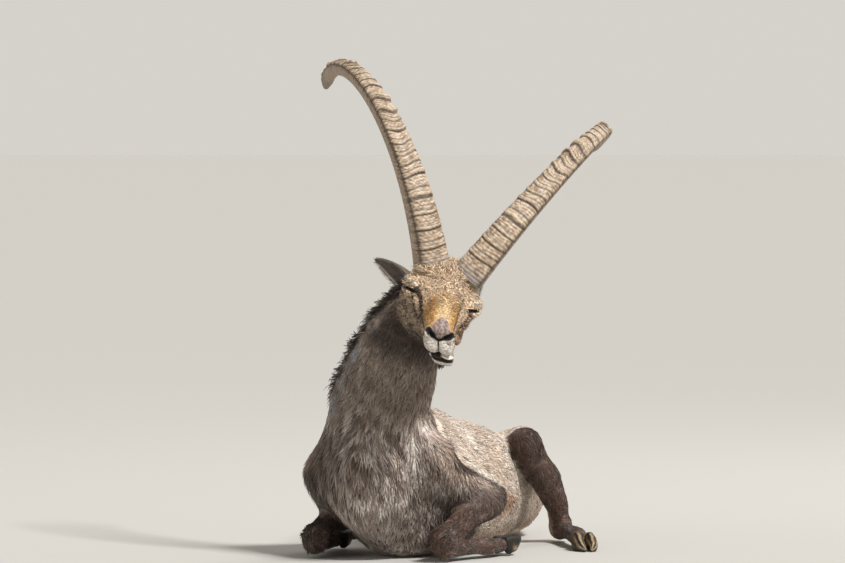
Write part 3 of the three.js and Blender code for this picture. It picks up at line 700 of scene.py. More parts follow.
@dataclass
class Body:
    """The flesh of the animal as fields, with the lines of its face."""

    coat_depth: float = 4.0  # by which the skin lies inside the solids
    face_depth: float = 1.6

    def __post_init__(self) -> None:
        """Makes the field of each part and of the whole skin."""
        spine = [Station(at, w, d) for at, w, d in zip(NECK_SPINE, NECK_WIDTHS, NECK_DEPTHS)]
        bones = blend(5, self.skull(), self.jaw())
        self.parts: dict[Part, Field] = {
            Part.TRUNK: bar(*TRUNK),
            Part.NECK: bar(*spine, hint=NECK_BACK),
            Part.HEAD: in_head(blend(8, self.skull(), self.jaw())),
            **{part: limb.flesh() for part, limb in LIMBS.items()},
            Part.TAIL: bar(*TAIL),
        }
        self.shoulders = {limb.side: limb.root() for limb in FORE_LIMBS.values()}
        self.haunches = {limb.side: limb.root() for limb in HIND_LIMBS.values()}
        self.lines = {name: stroke.laid(bones) for name, stroke in self.face_strokes().items()}
        self.skin = self.flesh(bones)

    @staticmethod
    def skull() -> Field:
        """The skull and upper jaw in the head's frame.

        Returns:
            A bar with the brow, the cheeks, the nose and the lip on it.
        """
        bones = blend(
            16,
            bar(
                Station((-84, 0, 0), 54, 54),
                Station((-44, 0, 8), 60, 62),
                Station((0, 0, -6), 57, 56),
                Station((46, 0, -13), 44, 50),
                Station((96, 0, -19), 34, 40),
                Station((124, 0, -22), 30, 35),
                Station((132, 0, -26), 27, 30),
            ),
            ellipsoid((-6, 53, 6), (35, 25, 24)),  # brow
            ellipsoid((-34, 38, -40), (48, 27, 36)),  # cheek
            ellipsoid((8, 33, -52), (48, 21, 27)),  # chewing muscle
            ellipsoid((18, 43, -24), (34, 17, 22)),  # under the eye
            ellipsoid((-46, 34, 48), (30, 32, 30)),  # foot of the horn
            ellipsoid((-74, 48, -14), (20, 22, 24)),  # root of the ear
        )
        muzzle = blend(
            6,
            bones,
            ellipsoid((143, 0, -6), (20, 21, 14)),  # nose
            ellipsoid((147, 21, -14), (14, 10, 13)),  # wing of the nostril
            ellipsoid((139, 14, -40), (22, 18, 19)),  # upper lip
            ellipsoid((114, 20, -42), (26, 14, 17)),  # side of the lip
        )
        lids = ellipsoid((EYE_PLACE[0] - 1, EYE_PLACE[1] + 1, 1), (20, 18.5, 17.5))
        tuft = ellipsoid((-24, -34, 44), (28, 38, 24))  # of curls before the right horn
        return blend(9, mirrored(blend(6, muzzle, lids)), tuft)

    @staticmethod
    def jaw() -> Field:
        """The lower jaw in the head's frame, with the lower lip and the chin.

        Returns:
            The field.
        """
        bone = bar(
            Station((-52, 0, -52), 40, 34),
            Station((0, 0, -60), 37, 29),
            Station((56, 0, -68), 29, 22),
            Station((100, 0, -72), 23, 15),
            Station((122, 0, -73), 20, 12),
        )
        lip = ellipsoid((126, 11, -68), (16, 17, 7))
        chin = ellipsoid((115, 6, -78), (19, 18, 12))
        return mirrored(blend(8, bone, lip, chin))

    @staticmethod
    def lid_line(height: float, bow: float, start: float, end: float) -> Array:
        """A line on the lids, round the eye at 19 mm from its middle.

        Args:
            height: of the line's ends, above the middle of the eye.
            bow: how much higher its middle is.
            start: the turn from x at which it starts, in degrees.
            end: the turn at which it ends.

        Returns:
            The corners of the line.
        """
        turns = np.radians(np.linspace(start, end, 9))
        rise = height + np.sin(np.linspace(0.0, math.pi, 9)) * bow + 3.0 * np.cos(turns)
        return np.stack([np.cos(turns) * 19, np.sin(turns) * 19, rise], axis=1) + np.array(EYE_PLACE)

    @staticmethod
    def parting(q: Array) -> Array:
        """How far points of the head's frame lie above the line between the lips, and far behind it."""
        height = np.interp(q[:, 0], [70, 84, 96, 112, 150], [-45, -48, -53, -59, -60])
        return q[:, 2] - height + 60.0 * smooth(78.0, 68.0, q[:, 0])

    def lips(self, form: Field) -> Field:
        """The head with curls on its forehead and the lips parted, with a hollow in the lower one.

        Args:
            form: the skull and the jaw.

        Returns:
            The field.
        """

        def value(q: Array) -> Array:
            """The field at points of the head's frame."""
            above = self.parting(q)
            hollow = np.exp(-(((above + 10.0) / 4.5) ** 2)) * smooth(108.0, 120.0, q[:, 0])
            hollow = hollow * smooth(23.0, 17.0, np.abs(q[:, 1]))
            rows = 1.3 * curls(q) * smooth(60.0, 20.0, q[:, 0]) * smooth(-20.0, 0.0, q[:, 2])
            return form(q) + 8.0 * np.exp(-((above / 3.0) ** 2)) + 5.0 * hollow + rows

        return value

    def face_strokes(self) -> dict[str, Stroke]:
        """The lines of the face in the head's frame: each with its path, width and height.

        Returns:
            The strokes by name.
        """
        tear = [(21, 57, 6), (27, 54, -2), (34, 48, -14), (50, 42, -24), (68, 38, -30)]
        even = {
            "slit": Stroke(self.lid_line(4.0, 1.0, -6, 122), 2.6, -7.5),
            "upper lid": Stroke(self.lid_line(8.5, 3.0, 8, 118), 2.2, 2.2),
            "lid fold": Stroke(self.lid_line(13.0, 3.0, 4, 124), 1.8, -2.4),
            "brow ridge": Stroke(self.lid_line(18.0, 5.0, 0, 128), 5.0, 4.5),
            "lower lid": Stroke(self.lid_line(0.0, -1.5, 8, 112), 1.8, 1.6),
            "under lid": Stroke(self.lid_line(-6.0, -2.0, 14, 104), 2.4, -2.2),
            "bag": Stroke(self.lid_line(-12.0, -2.5, 20, 100), 3.0, 1.2),
            "tear": Stroke(tear, 3.2, -3.0),
            "nose bone": Stroke([(36, 26, 26), (70, 24, 18), (104, 22, 10), (130, 18, 5)], 7.0, 2.0),
            "nostril": Stroke([(152, 27, -8), (157, 23, -11), (161, 17, -15), (162, 12, -19)], 4.6, -12.0),
            "nostril line": Stroke([(161, 16, -17), (161, 10, -21), (160, 4, -23), (159, 0, -24)], 2.4, -4.5),
            "nostril rim": Stroke([(148, 32, -7), (152, 32, -15), (156, 26, -23), (159, 16, -27)], 2.6, 1.8),
        }
        return {
            **{name: replace(stroke, both_sides=True) for name, stroke in even.items()},
            "philtrum": Stroke([(160, 0, -24), (160, 0, -34), (158, 0, -45), (154, 0, -56)], 1.5, -2.6),
            "cheek": Stroke([(64, 36, -38), (40, 44, -44), (6, 54, -36)], 7.0, -2.2, both_sides=True),
            "right bridge": Stroke([(27, -49, 15), (53, -40, -1), (79, -36, -22), (105, -32, -27)], 4.0, -1.4),
            "left bridge": Stroke([(39, 33, 25), (73, 31, 12), (96, 30, -1), (122, 28, -9)], 3.4, -1.4),
        }

    @staticmethod
    def body_strokes() -> list[Stroke]:
        """The creases of the body, in the model's frame."""
        return [
            Stroke([(8, 52, 284), (34, 92, 246), (46, 128, 204), (6, 150, 176), (-48, 168, 150)], 15.0, -7.0),
            Stroke([(58, 88, 250), (76, 124, 208), (40, 150, 182), (-20, 168, 158)], 16.0, 4.0),
            Stroke([(118, 20, 260), (136, 34, 220), (140, 40, 170), (130, 44, 120)], 20.0, -6.0),
            Stroke([(-62, -190, 214), (-92, -196, 160), (-104, -190, 110)], 17.0, -9.0),
            Stroke(from_head(np.array(BEHIND_CHEEK)), 9.0, -8.0),
            Stroke([(-250, 60, 250), (-300, 108, 170), (-330, 112, 100)], 20.0, -7.0),
        ]

    def flesh(self, bones: Field) -> Field:
        """The whole skin, inside the solids by the coat's depth.

        Args:
            bones: the skull and the jaw, in the head's frame.

        Returns:
            The field.
        """
        torso = blend(46, self.parts[Part.TRUNK], *self.shoulders.values(), *self.haunches.values())
        head = in_head(with_strokes(self.lips(bones), list(self.lines.values())))
        core = blend(34, blend(52, torso, self.parts[Part.NECK]), head)
        bare = blend(16, core, *[self.parts[part] for part in LIMBS], self.parts[Part.TAIL])
        whole = with_strokes(bare, [stroke.laid(bare, 14.0) for stroke in self.body_strokes()])
        return lambda p: whole(p) + self.depth(p)

    def depth(self, p: Array) -> Array:
        """How far the skin lies inside the solids: least at the muzzle, most on the trunk.

        Args:
            p: points.

        Returns:
            The depth at each.
        """
        front = smooth(-70.0, 60.0, to_head(p)[:, 0]) * smooth(380.0, 440.0, p[:, 2])
        leg = smooth(70.0, 40.0, p[:, 2]) * 0.5
        return (self.coat_depth * (1 - leg)) * (1 - front) + self.face_depth * front


# Meshing a field


def in_chunks(form: Field, p: Array, most: int = 150_000) -> Array:
    """A field at many points, a chunk at a time."""
    return np.concatenate([form(p[i : i + most]) for i in range(0, len(p), most)])


def spread(values: Array, factor: int) -> Array:
    """Refines a grid of values, with each axis interpolated along straight lines.

    Args:
        values: the grid.
        factor: how many steps each old step becomes.

    Returns:
        The finer grid.
    """
    for axis in range(3):
        values = np.moveaxis(values, axis, 0)
        out = np.empty(((len(values) - 1) * factor + 1, *values.shape[1:]))
        for k in range(factor):
            out[k:-1:factor] = values[:-1] * (1 - k / factor) + values[1:] * (k / factor)
        out[-1] = values[-1]
        values = np.moveaxis(out, 0, axis)
    return values


def ends(values: Array, axis: int, others: slice) -> tuple[Array, Array]:
    """The values at the lower and at the upper end of each edge along an axis of a grid."""
    pair = [[part if i == axis else others for i in range(3)] for part in (slice(0, -1), slice(1, None))]
    return values[tuple(pair[0])], values[tuple(pair[1])]


def crossings(values: Array) -> tuple[Array, Array]:
    """For each cell of a grid, where the skin crosses its edges.

    Args:
        values: the field on the grid.

    Returns:
        The sum of the crossings' places in each cell, in cells, and their number.
    """
    cells = tuple(np.array(values.shape) - 1)
    total, number = np.zeros((*cells, 3)), np.zeros(cells)
    for axis in range(3):
        a, b = ends(values, axis, slice(None))
        crossed = (a < 0) != (b < 0)
        t = np.where(crossed, a / np.where(crossed, a - b, 1.0), 0.0)
        u, v = (axis + 1) % 3, (axis + 2) % 3
        for du, dv in ((0, 0), (1, 0), (0, 1), (1, 1)):
            part = [slice(None)] * 3
            part[u] = slice(du, du + cells[u])
            part[v] = slice(dv, dv + cells[v])
            c = crossed[tuple(part)]
            number += c
            total[..., axis] += t[tuple(part)]
            total[..., u] += c * du
            total[..., v] += c * dv
    return total, number


def net(form: Field, low: tuple, high: tuple, cell: float, coarse: int = 4) -> tuple[Array, Array]:
    """Meshes the skin of a field: one point in each cell that it crosses, at the mean of the crossings.

    Args:
        form: the field.
        low: the lowest corner of the box.
        high: the highest corner of the box.
        cell: the size of a cell.
        coarse: how many cells wide the first, rough grid is.

    Returns:
        Points, and triangles that face outwards.
    """
    start = np.asarray(low, float)
    blocks = np.ceil((np.asarray(high, float) - start) / (cell * coarse)).astype(int)
    count = blocks * coarse + 1
    axes = [start[i] + cell * np.arange(0, count[i], coarse) for i in range(3)]
    corners = np.stack(np.meshgrid(*axes, indexing="ij"), axis=-1).reshape(-1, 3)
    values = spread(in_chunks(form, corners).reshape(blocks + 1), coarse).ravel()
    near = np.flatnonzero(np.abs(values) < 1.5 * coarse * cell)
    index = np.stack(np.unravel_index(near, count), axis=1)
    values[near] = in_chunks(form, start + cell * index)
    values = values.reshape(count)

    total, number = crossings(values)
    used = number > 0
    name = np.full(number.shape, -1)
    name[used] = np.arange(used.sum())
    points = start + cell * (np.stack(np.nonzero(used), axis=1) + total[used] / number[used][:, None])

    quads = []
    for axis in range(3):
        u, v = (axis + 1) % 3, (axis + 2) % 3
        here, there = ends(values < 0, axis, slice(1, -1))
        place = np.stack(np.nonzero(here != there), axis=1)
        base = place.copy()
        base[:, [u, v]] += 1
        ring = []
        for du, dv in ((0, 0), (-1, 0), (-1, -1), (0, -1)):
            corner = base.copy()
            corner[:, u] += du
            corner[:, v] += dv
            ring.append(name[tuple(corner.T)])
        quad = np.stack(ring, axis=1)
        quads.append(np.where(here[tuple(place.T)][:, None], quad, quad[:, ::-1]))
    q = np.concatenate(quads)
    across = [np.linalg.norm(points[q[:, i]] - points[q[:, i + 2]], axis=1) for i in range(2)]
    short = (across[0] < across[1])[:, None]
    first = np.where(short, q[:, [0, 1, 2]], q[:, [1, 2, 3]])
    second = np.where(short, q[:, [0, 2, 3]], q[:, [1, 3, 0]])
    return points, np.concatenate([first, second])


def refine(points: Array, triangles: Array, wanted: Array) -> tuple[Array, Array]:
    """Halves each edge between two wanted points: a triangle becomes four, or two beside the region.

    Args:
        points: the points.
        triangles: the triangles.
        wanted: whether each point lies where the mesh is to be finer.

    Returns:
        The new points and triangles, still closed.
    """
    pairs = np.sort(triangles[:, [0, 1, 1, 2, 2, 0]].reshape(-1, 2), axis=1)
    edges, back = np.unique(pairs, axis=0, return_inverse=True)
    split = wanted[edges[:, 0]] & wanted[edges[:, 1]]
    middle = np.where(split, len(points) + np.cumsum(split) - 1, -1)
    halves = (points[edges[split, 0]] + points[edges[split, 1]]) / 2
    m = middle[back.ravel()].reshape(-1, 3)
    number = (m >= 0).sum(axis=1)
    kept = triangles[number == 0]
    t, n = triangles[number == 3], m[number == 3]
    fans = [np.stack([n[:, i - 1], t[:, i], n[:, i]], 1) for i in range(3)]
    four = np.concatenate([fans[0][:, [1, 2, 0]], fans[1], fans[2][:, [2, 0, 1]], n])
    t, n = triangles[number == 1], m[number == 1]
    k = np.argmax(n >= 0, axis=1)
    row = np.arange(len(t))
    a, b, c, mid = t[row, k], t[row, (k + 1) % 3], t[row, (k + 2) % 3], n[row, k]
    two = np.concatenate([np.stack([a, mid, c], 1), np.stack([mid, b, c], 1)])
    return np.concatenate([points, halves]), np.concatenate([kept, four, two])


def normals_of(points: Array, triangles: Array) -> Array:
    """Point normals: the sum of the cross products of the triangles around each point."""
    a, b, c = (points[triangles[:, i]] for i in range(3))
    faces = np.repeat(np.cross(b - a, c - a), 3, axis=0)
    return unit(np.stack([np.bincount(triangles.ravel(), faces[:, i], len(points)) for i in range(3)], axis=1))


# Colours and markings


def linear(code: str) -> Array:
    """An sRGB hex colour as linear red, green and blue."""
    s = np.array([int(code[i : i + 2], 16) for i in (1, 3, 5)]) / 255.0
    return np.where(s <= 0.04045, s / 12.92, ((s + 0.055) / 1.055) ** 2.4)


class Tone(Enum):
    """The colours of coat, ears, horns and hooves, and of painted shade and highlights on them, sRGB."""

    FLANK = "#e0cab6"
    BELLY = "#f0e5d9"
    LOW_FLANK = "#ab8a70"
    CHEST = "#ab988c"
    CHEST_PALE = "#e9e0d8"
    SHOULDER = "#cdb5a5"
    SHOULDER_EDGE = "#3c261b"
    NECK = "#9b8879"
    NECK_DARK = "#33271f"
    MANE = "#40332b"
    MANE_BLUE = "#989ca1"
    LEG = "#45322a"
    LEG_WARM = "#6d4733"
    FETLOCK = "#a5744c"
    FOREHEAD = "#fddcb8"
    # painted shade in the gaps between the forehead's curls
    CURL_GAP_SHADE = "#7a5538"
    OCHRE = "#bf8a45"
    BRIDGE = "#e6c594"
    STRIPE = "#38200f"
    NOSE = "#a08c84"
    NOSE_DARK = "#5e4f4a"
    MUZZLE = "#d8cfc4"
    # black: painted shade in the eye slits, nostrils, philtrum and between the lips
    BLACK = "#080606"
    # painted shade in the hollow of the lower lip
    INNER_LIP_SHADE = "#2c201b"
    TEETH = "#efe8dc"
    # the right cheek, with painted shade: darker and greyer
    CHEEK = "#9c8672"
    # the left cheek, with painted light: paler and warmer
    CHEEK_WARM = "#c39d7a"
    # painted shade under the jaw and where the neck meets the head
    THROAT_SHADE = "#33241a"
    # painted highlight on the brow ridges and under the left eye
    BROW_HIGHLIGHT = "#f4e2c8"
    BEARD = "#5d4c3f"
    EAR_BACK = "#b9a896"
    EAR_EDGE = "#d9cdbd"
    EAR_INSIDE = "#5c5048"
    EAR_FRINGE = "#dfd5c8"
    EAR_HAIR = "#cfc6ba"
    HORN = "#c6ad93"
    HORN_PATCH = "#8f755b"
    HORN_PALE = "#e6d5bf"
    HORN_SPECK = "#6d5540"
    HORN_ROOT = "#8b8682"
    # painted highlight on the crests of the knobs
    HORN_CREST_HIGHLIGHT = "#d6c3a5"
    # painted shade in the grooves, under the knobs and in the furrow
    HORN_GROOVE_SHADE = "#2e2016"
    # painted shade on the sides and back of the horn
    HORN_SIDE_SHADE = "#6e5a47"
    HORN_TIP = "#5a5048"
    HOOF = "#1c1815"
    HOOF_CREAM = "#b59c70"


Layer = tuple[Tone, Array]  # a tone, and how much of it lies on what is below


def plain(tone: Tone, like: Array) -> Array:
    """One linear colour for each number of an array."""
    return np.broadcast_to(linear(tone.value), (*like.shape, 3))


def mixed(base: Array, *layers: Layer) -> Array:
    """Colours under layers, each of which makes them c (1 - s) + t s with its tone t and share s."""
    for tone, share in layers:
        s = np.clip(share, 0.0, 1.0)[..., None]
        base = base * (1 - s) + linear(tone.value) * s
    return base


@dataclass
class Markings:
    """The colours of skin and coat alike, at any point of the body."""

    body: Body
    owned: float = 9.0  # distance over which one part's share falls to a third of another's

    def weights(self, p: Array) -> dict[Part, Array]:
        """How far each part of the body owns points: exp(-distance/owned), shared to one.

        Args:
            p: the points.

        Returns:
            Shares by part.
        """
        raw = {part: form(p) for part, form in self.body.parts.items()}
        for part in (Part.FORE_LEFT, Part.FORE_RIGHT):
            raw[part] = raw[part] + 3.0
        for shoulder in self.body.shoulders.values():
            raw[Part.TRUNK] = np.minimum(raw[Part.TRUNK], shoulder(p))
        raw[Part.HIND_LEFT] = np.minimum(raw[Part.HIND_LEFT], self.body.haunches[1](p) + 6.0)
        raw[Part.TRUNK] = np.minimum(raw[Part.TRUNK], self.body.haunches[-1](p))
        q = to_head(p)
        inside = smooth(-98.0, -76.0, q[:, 0]) * smooth(-112.0, -94.0, q[:, 2])
        raw[Part.HEAD] = raw[Part.HEAD] - 26.0 * inside
        least = np.min(np.stack(list(raw.values())), axis=0)
        share = {part: np.exp(-(v - least) / self.owned) for part, v in raw.items()}
        total = sum(share.values())
        return {part: v / total for part, v in share.items()}

    def colour(self, p: Array, weights: dict[Part, Array]) -> Array:
        """The coat's colour at points of the skin.

        Args:
            p: the points.
            weights: how far each part owns them.

        Returns:
            Linear colours.
        """
        leg = sum(weights[part] for part in LIMBS) + 0.3 * (noise(p, 18, 27) - 0.5)
        for limb in HIND_LIMBS.values():
            beyond, _ = along_path(p, np.array([limb.stifle, limb.hock, limb.toe()]))
            thigh = smooth(60.0, 95.0, beyond + 26 * (noise(p, 50, 28) - 0.5))
            leg = leg * (1 - 0.92 * thigh * smooth(270.0, 225.0, np.linalg.norm(p - limb.hip, axis=1)))
        colour = self.trunk(p)
        over = ((self.neck, weights[Part.NECK]), (self.head, weights[Part.HEAD]), (self.legs, leg))
        for paint, share in over:
            colour = colour + (paint(p) - colour) * smooth(0.25, 0.75, share)[:, None]
        return mixed(colour, (Tone.MANE, smooth(0.3, 0.8, weights[Part.TAIL])))

    @staticmethod
    def shoulder_edge(p: Array) -> Array:
        """How far points lie in front of the rear edge of the shoulder, whose x depends on the height."""
        heights = [40, 100, 140, 157, 176, 200, 237, 273, 320]
        edge = np.interp(p[:, 2], heights, [-110, -104, -70, -40, 14, 56, 44, 24, -10])
        return p[:, 0] - edge + 9.0 * (noise(p, 22, 12) - 0.5)

    def trunk(self, p: Array) -> Array:
        """Pale pinkish tan flank, orange behind the elbow, a dark-edged shoulder, a grey streaked chest,
        painted shadow on its right.

        Args:
            p: points.

        Returns:
            Linear colours.
        """
        x, y, z = p.T
        low = smooth(80.0, 10.0, z)
        patch = np.linalg.norm((p - point(-218, 118, 96)) / point(1.6, 1, 1), axis=1)
        front = self.shoulder_edge(p)
        dark = smooth(-4.0, 4.0, front) * smooth(44.0, 12.0, front)
        chest = smooth(20.0, 70.0, front - 0.2 * np.abs(y + 10))
        # painted shadow: the right side of the upper chest darkened, as if under the head's shadow
        chest_shadow = chest * smooth(-10.0, -90.0, y + 40 * (noise(p, 80, 29) - 0.5)) * smooth(90.0, 170.0, z)
        low_front = smooth(-10.0, 30.0, front) * smooth(170.0, 120.0, z) * smooth(60.0, 120.0, y)
        right = smooth(-96.0, -150.0, y) * smooth(-160.0, -60.0, x)
        ridge = np.exp(-(((y + 30 - 0.04 * x) / 22) ** 2)) * smooth(200.0, 250.0, z)
        return mixed(
            plain(Tone.FLANK, x),
            (Tone.BELLY, 0.55 * noise(p, 130, 1)),
            (Tone.LOW_FLANK, 0.22 * smooth(0.55, 0.9, noise(p, 34, 13))),
            (Tone.LOW_FLANK, 0.6 * low),
            (Tone.LEG_WARM, 0.6 * low * noise(p, 60, 2)),
            (Tone.LOW_FLANK, 0.45 * smooth(-400.0, -560.0, x)),
            (Tone.FETLOCK, 0.85 * smooth(50.0, 20.0, patch + 22 * noise(p, 12, 18))),
            (Tone.SHOULDER, smooth(-3.0, 5.0, front)),
            (Tone.SHOULDER_EDGE, 0.92 * dark),
            (Tone.CHEST, chest),
            *self.streaks(p, 0.25 + 0.75 * chest),
            # painted shadow on the right of the chest
            (Tone.NECK_DARK, 0.5 * chest_shadow),
            (Tone.SHOULDER_EDGE, 0.85 * low_front),
            (Tone.SHOULDER_EDGE, 0.45 * right),
            (Tone.LEG_WARM, 0.5 * ridge * smooth(60.0, -20.0, x)),
        )

    @staticmethod
    def streaks(p: Array, share: Array) -> list[Layer]:
        """Whitish and dark streaks that run down the chest, each about 8 mm wide and 40 mm long.

        Args:
            p: points.
            share: how strong they are at each.

        Returns:
            A pale and a dark layer.
        """
        streak = noise(p * point(1, 1, 0.2), 13, 3)
        patch = noise(p, 90, 14)
        return [
            (Tone.CHEST_PALE, share * smooth(0.5, 0.78, streak) * (0.35 + 0.55 * patch)),
            (Tone.NECK_DARK, share * smooth(0.46, 0.16, streak) * (0.85 - 0.4 * patch)),
        ]

    def neck(self, p: Array) -> Array:
        """Grey-brown neck with dark flecks, a blackish mane with blue-grey tufts, a pale streaked front, and
        painted shade under the jaw and against the head.

        Args:
            p: points.

        Returns:
            Linear colours.
        """
        _, share = along_path(p, NECK_SPINE)
        to_back = unit(p - on_path(NECK_SPINE, share)) @ MANE_BACK
        q = HEAD.local(p)
        # painted shadow: the throat below the jaw
        under = smooth(-180.0, -118.0, q[:, 2]) * smooth(-90.0, -40.0, q[:, 0])
        # painted shade: a dark band on the neck right against the head
        edge = smooth(20.0, 8.0, self.body.parts[Part.HEAD](p)) * smooth(-120.0, -96.0, q[:, 0])
        crest = to_back + 0.16 * (noise(p, 26, 16) - 0.5)
        blue = smooth(0.3, 0.46, crest) * smooth(0.78, 0.62, crest) * smooth(0.75, 0.55, share)
        return mixed(
            plain(Tone.NECK, share),
            (Tone.CHEST, smooth(0.45, 0.0, share)),
            *self.streaks(p, 0.3 + 0.7 * smooth(0.5, 0.1, share)),
            (Tone.NECK_DARK, 0.3 * smooth(0.5, 0.85, noise(p, 8, 15))),
            (Tone.SHOULDER_EDGE, 0.5 * smooth(0.25, 0.0, share) * smooth(0.0, 0.4, to_back)),
            # painted shadow under the jaw
            (Tone.THROAT_SHADE, 0.9 * under),
            # painted shade along the head
            (Tone.THROAT_SHADE, 0.8 * edge),
            (Tone.MANE, smooth(0.66, 0.8, crest) * smooth(0.02, 0.2, share + 0.1)),
            (Tone.MANE_BLUE, 0.8 * blue * smooth(0.38, 0.56, noise(p, 40, 5))),
        )

    def head(self, p: Array) -> Array:
        """Tan forehead with painted shade between its curls, ochre nose with dark edges, grey nose tip, pale
        muzzle, brown cheeks, painted shade and highlights.
        """
        q = to_head(p)
        return mixed(plain(Tone.FOREHEAD, q[:, 0]), *self.brow(p, q), *self.nose(p, q), *self.openings(q))

    @staticmethod
    def brow(p: Array, q: Array) -> list[Layer]:
        """Painted shade between the forehead's curls, its two dark spots, and the cheeks, shaded darker right,
        sunlit warmer left.

        Args:
            p: points.
            q: the same points in the head's frame.

        Returns:
            Layers.
        """
        x, y, z = q.T
        near = [np.linalg.norm(q - point(*spot), axis=1) for spot in ((-20, -10, 51), (10, 0, 40))]
        side = smooth(-2.0, -24.0, z - 0.12 * (x - 20))
        # painted light and shade: the sunlit left cheek paler and warmer than the shaded right one
        warm = smooth(-10.0, 40.0, y)
        return [
            # painted shade in the hollows between the rows of curls
            (Tone.CURL_GAP_SHADE, 0.8 * smooth(0.1, 0.55, curls(q)) * smooth(78.0, 30.0, x)),
            *[(Tone.STRIPE, 0.75 * smooth(12.0, 4.0, far + 5 * noise(p, 9, 25))) for far in near],
            (Tone.CHEEK, side * (1 - warm)),
            (Tone.CHEEK_WARM, side * warm),
            (Tone.STRIPE, 0.75 * side * smooth(0.48, 0.66, noise(p, 7, 7))),
            (Tone.FOREHEAD, 0.6 * side * smooth(0.52, 0.72, noise(p, 9, 19))),
        ]

    def nose(self, p: Array, q: Array) -> list[Layer]:
        """The ochre bridge with its dark edges, the grey tip, the pale muzzle and chin, and painted highlights
        on the brows and under the left eye.

        Args:
            p: points.
            q: the same points in the head's frame.

        Returns:
            Layers.
        """
        x, y, z = q.T
        far = np.abs(y)
        left_edge = np.interp(x, [27, 53, 79, 105, 130], [-47, -39, -35, -31, -27])
        right_edge = np.interp(x, [39, 73, 96, 125], [33, 31, 30, 27])
        bridge = smooth(-3.0, 2.0, y - left_edge) * smooth(3.0, -2.0, y - right_edge)
        bridge = bridge * smooth(-32.0, -24.0, z + 0.2 * y) * smooth(34.0, 76.0, x - 0.3 * far)
        pale = np.maximum(smooth(22.0, 8.0, far), 0.45 * smooth(0.5, 0.75, noise(p, 7, 26)))
        muzzle = smooth(122.0, 136.0, x) * smooth(-6.0, -16.0, z)
        wing = smooth(136.0, 146.0, x) * smooth(22.0, 27.0, far) * smooth(6.0, -4.0, z)
        nose = smooth(0.0, 5.0, x - 122.0 - 0.07 * far**2) * smooth(-25.0, -19.0, z)
        chin = smooth(92.0, 112.0, x) * smooth(-56.0, -64.0, z)
        lines = self.body.lines
        return [
            (Tone.OCHRE, bridge),
            (Tone.BRIDGE, 0.9 * bridge * pale),
            (Tone.STRIPE, 0.95 * lines["right bridge"].paint(q, 6.0)),
            (Tone.STRIPE, 0.95 * lines["left bridge"].paint(q, 3.0)),
            (Tone.STRIPE, 0.8 * lines["tear"].paint(q, 4.0)),
            # painted shade under the jaw
            (Tone.THROAT_SHADE, smooth(-74.0, -88.0, z) * smooth(112.0, 84.0, x) * 0.8),
            (Tone.MUZZLE, np.maximum(muzzle, wing)),
            (Tone.NOSE, nose),
            (Tone.NOSE_DARK, nose * 0.75 * smooth(0.42, 0.68, noise(p, 8, 17))),
            (Tone.MUZZLE, 0.85 * chin),
            # painted highlight along the brow ridges
            (Tone.BROW_HIGHLIGHT, lines["brow ridge"].paint(q, 5.0) * 0.75),
            # painted highlight under the left eye only, on the sunlit side
            (Tone.BROW_HIGHLIGHT, lines["bag"].paint(q, 3.0) * 0.5 * smooth(0.0, 20.0, y)),
        ]

    def openings(self, q: Array) -> list[Layer]:
        """Black painted shade in the nostrils, the philtrum, the slits of the eyes and between the lips;
        painted shade in the lower lip's hollow; teeth and a pale rim.

        Args:
            q: points in the head's frame.

        Returns:
            Layers.
        """
        x, y, _ = q.T
        above = self.body.parting(q)
        front = smooth(104.0, 114.0, x) * smooth(25.0, 20.0, np.abs(y))
        teeth = front * smooth(2.6, 1.6, np.abs(above + 6.0)) * smooth(-4.0, 2.0, y) * smooth(26.0, 22.0, y)
        widths = {"slit": 4.2, "nostril": 6.4, "nostril line": 3.1, "philtrum": 1.7}
        return [
            (Tone.MUZZLE, 0.9 * front * smooth(-17.0, -20.0, above) * smooth(-28.0, -24.0, above)),
            # painted shade in the hollow of the lower lip
            (Tone.INNER_LIP_SHADE, front * smooth(-19.0, -16.0, above) * smooth(3.0, 1.0, above)),
            # painted shade between the parted lips
            (Tone.BLACK, smooth(4.0, 2.4, np.abs(above))),
            (Tone.TEETH, teeth),
            # painted shade: black in the eye slits, also standing for the brow's shadow, and in the nostrils
            # and philtrum
            *[(Tone.BLACK, self.body.lines[name].paint(q, width)) for name, width in widths.items()],
        ]

    @staticmethod
    def legs(p: Array) -> Array:
        """Dark chocolate legs, a little warmer and paler in patches."""
        pale = 0.28 * smooth(0.55, 0.9, noise(p, 13, 9))
        return mixed(plain(Tone.LEG, pale), (Tone.LEG_WARM, 0.45 * noise(p, 60, 8)), (Tone.CHEST, pale))


# Meshes in Blender


def add_node(tree: bpy.types.NodeTree, kind: str, settings: dict, links: dict) -> bpy.types.Node:
    """Adds a node.

    Args:
        tree: the material's node tree.
        kind: the node's type.
        settings: values of its properties, or of its inputs by name or number.
        links: for each input, the output socket that feeds it.

    Returns:
        The node.
    """
    node = tree.nodes.new(kind)
    for key, value in settings.items():
        if isinstance(key, str) and hasattr(node, key):
            setattr(node, key, value)
        else:
            node.inputs[key].default_value = value
    for key, socket in links.items():
        tree.links.new(socket, node.inputs[key])
    return node


def dressed(name: str, settings: dict, links: Callable[[bpy.types.NodeTree], dict]) -> bpy.types.Material:
    """A material whose surface is one principled shader.

    Args:
        name: of the material.
        settings: of the shader.
        links: given the node tree, makes what feeds the shader's inputs.

    Returns:
        The material.
    """
    material = bpy.data.materials.new(name)
    material.use_nodes = True
    tree = material.node_tree
    tree.nodes.clear()
    out = tree.nodes.new("ShaderNodeOutputMaterial")
    shader = add_node(tree, "ShaderNodeBsdfPrincipled", settings, links(tree))
    tree.links.new(shader.outputs["BSDF"], out.inputs["Surface"])
    return material


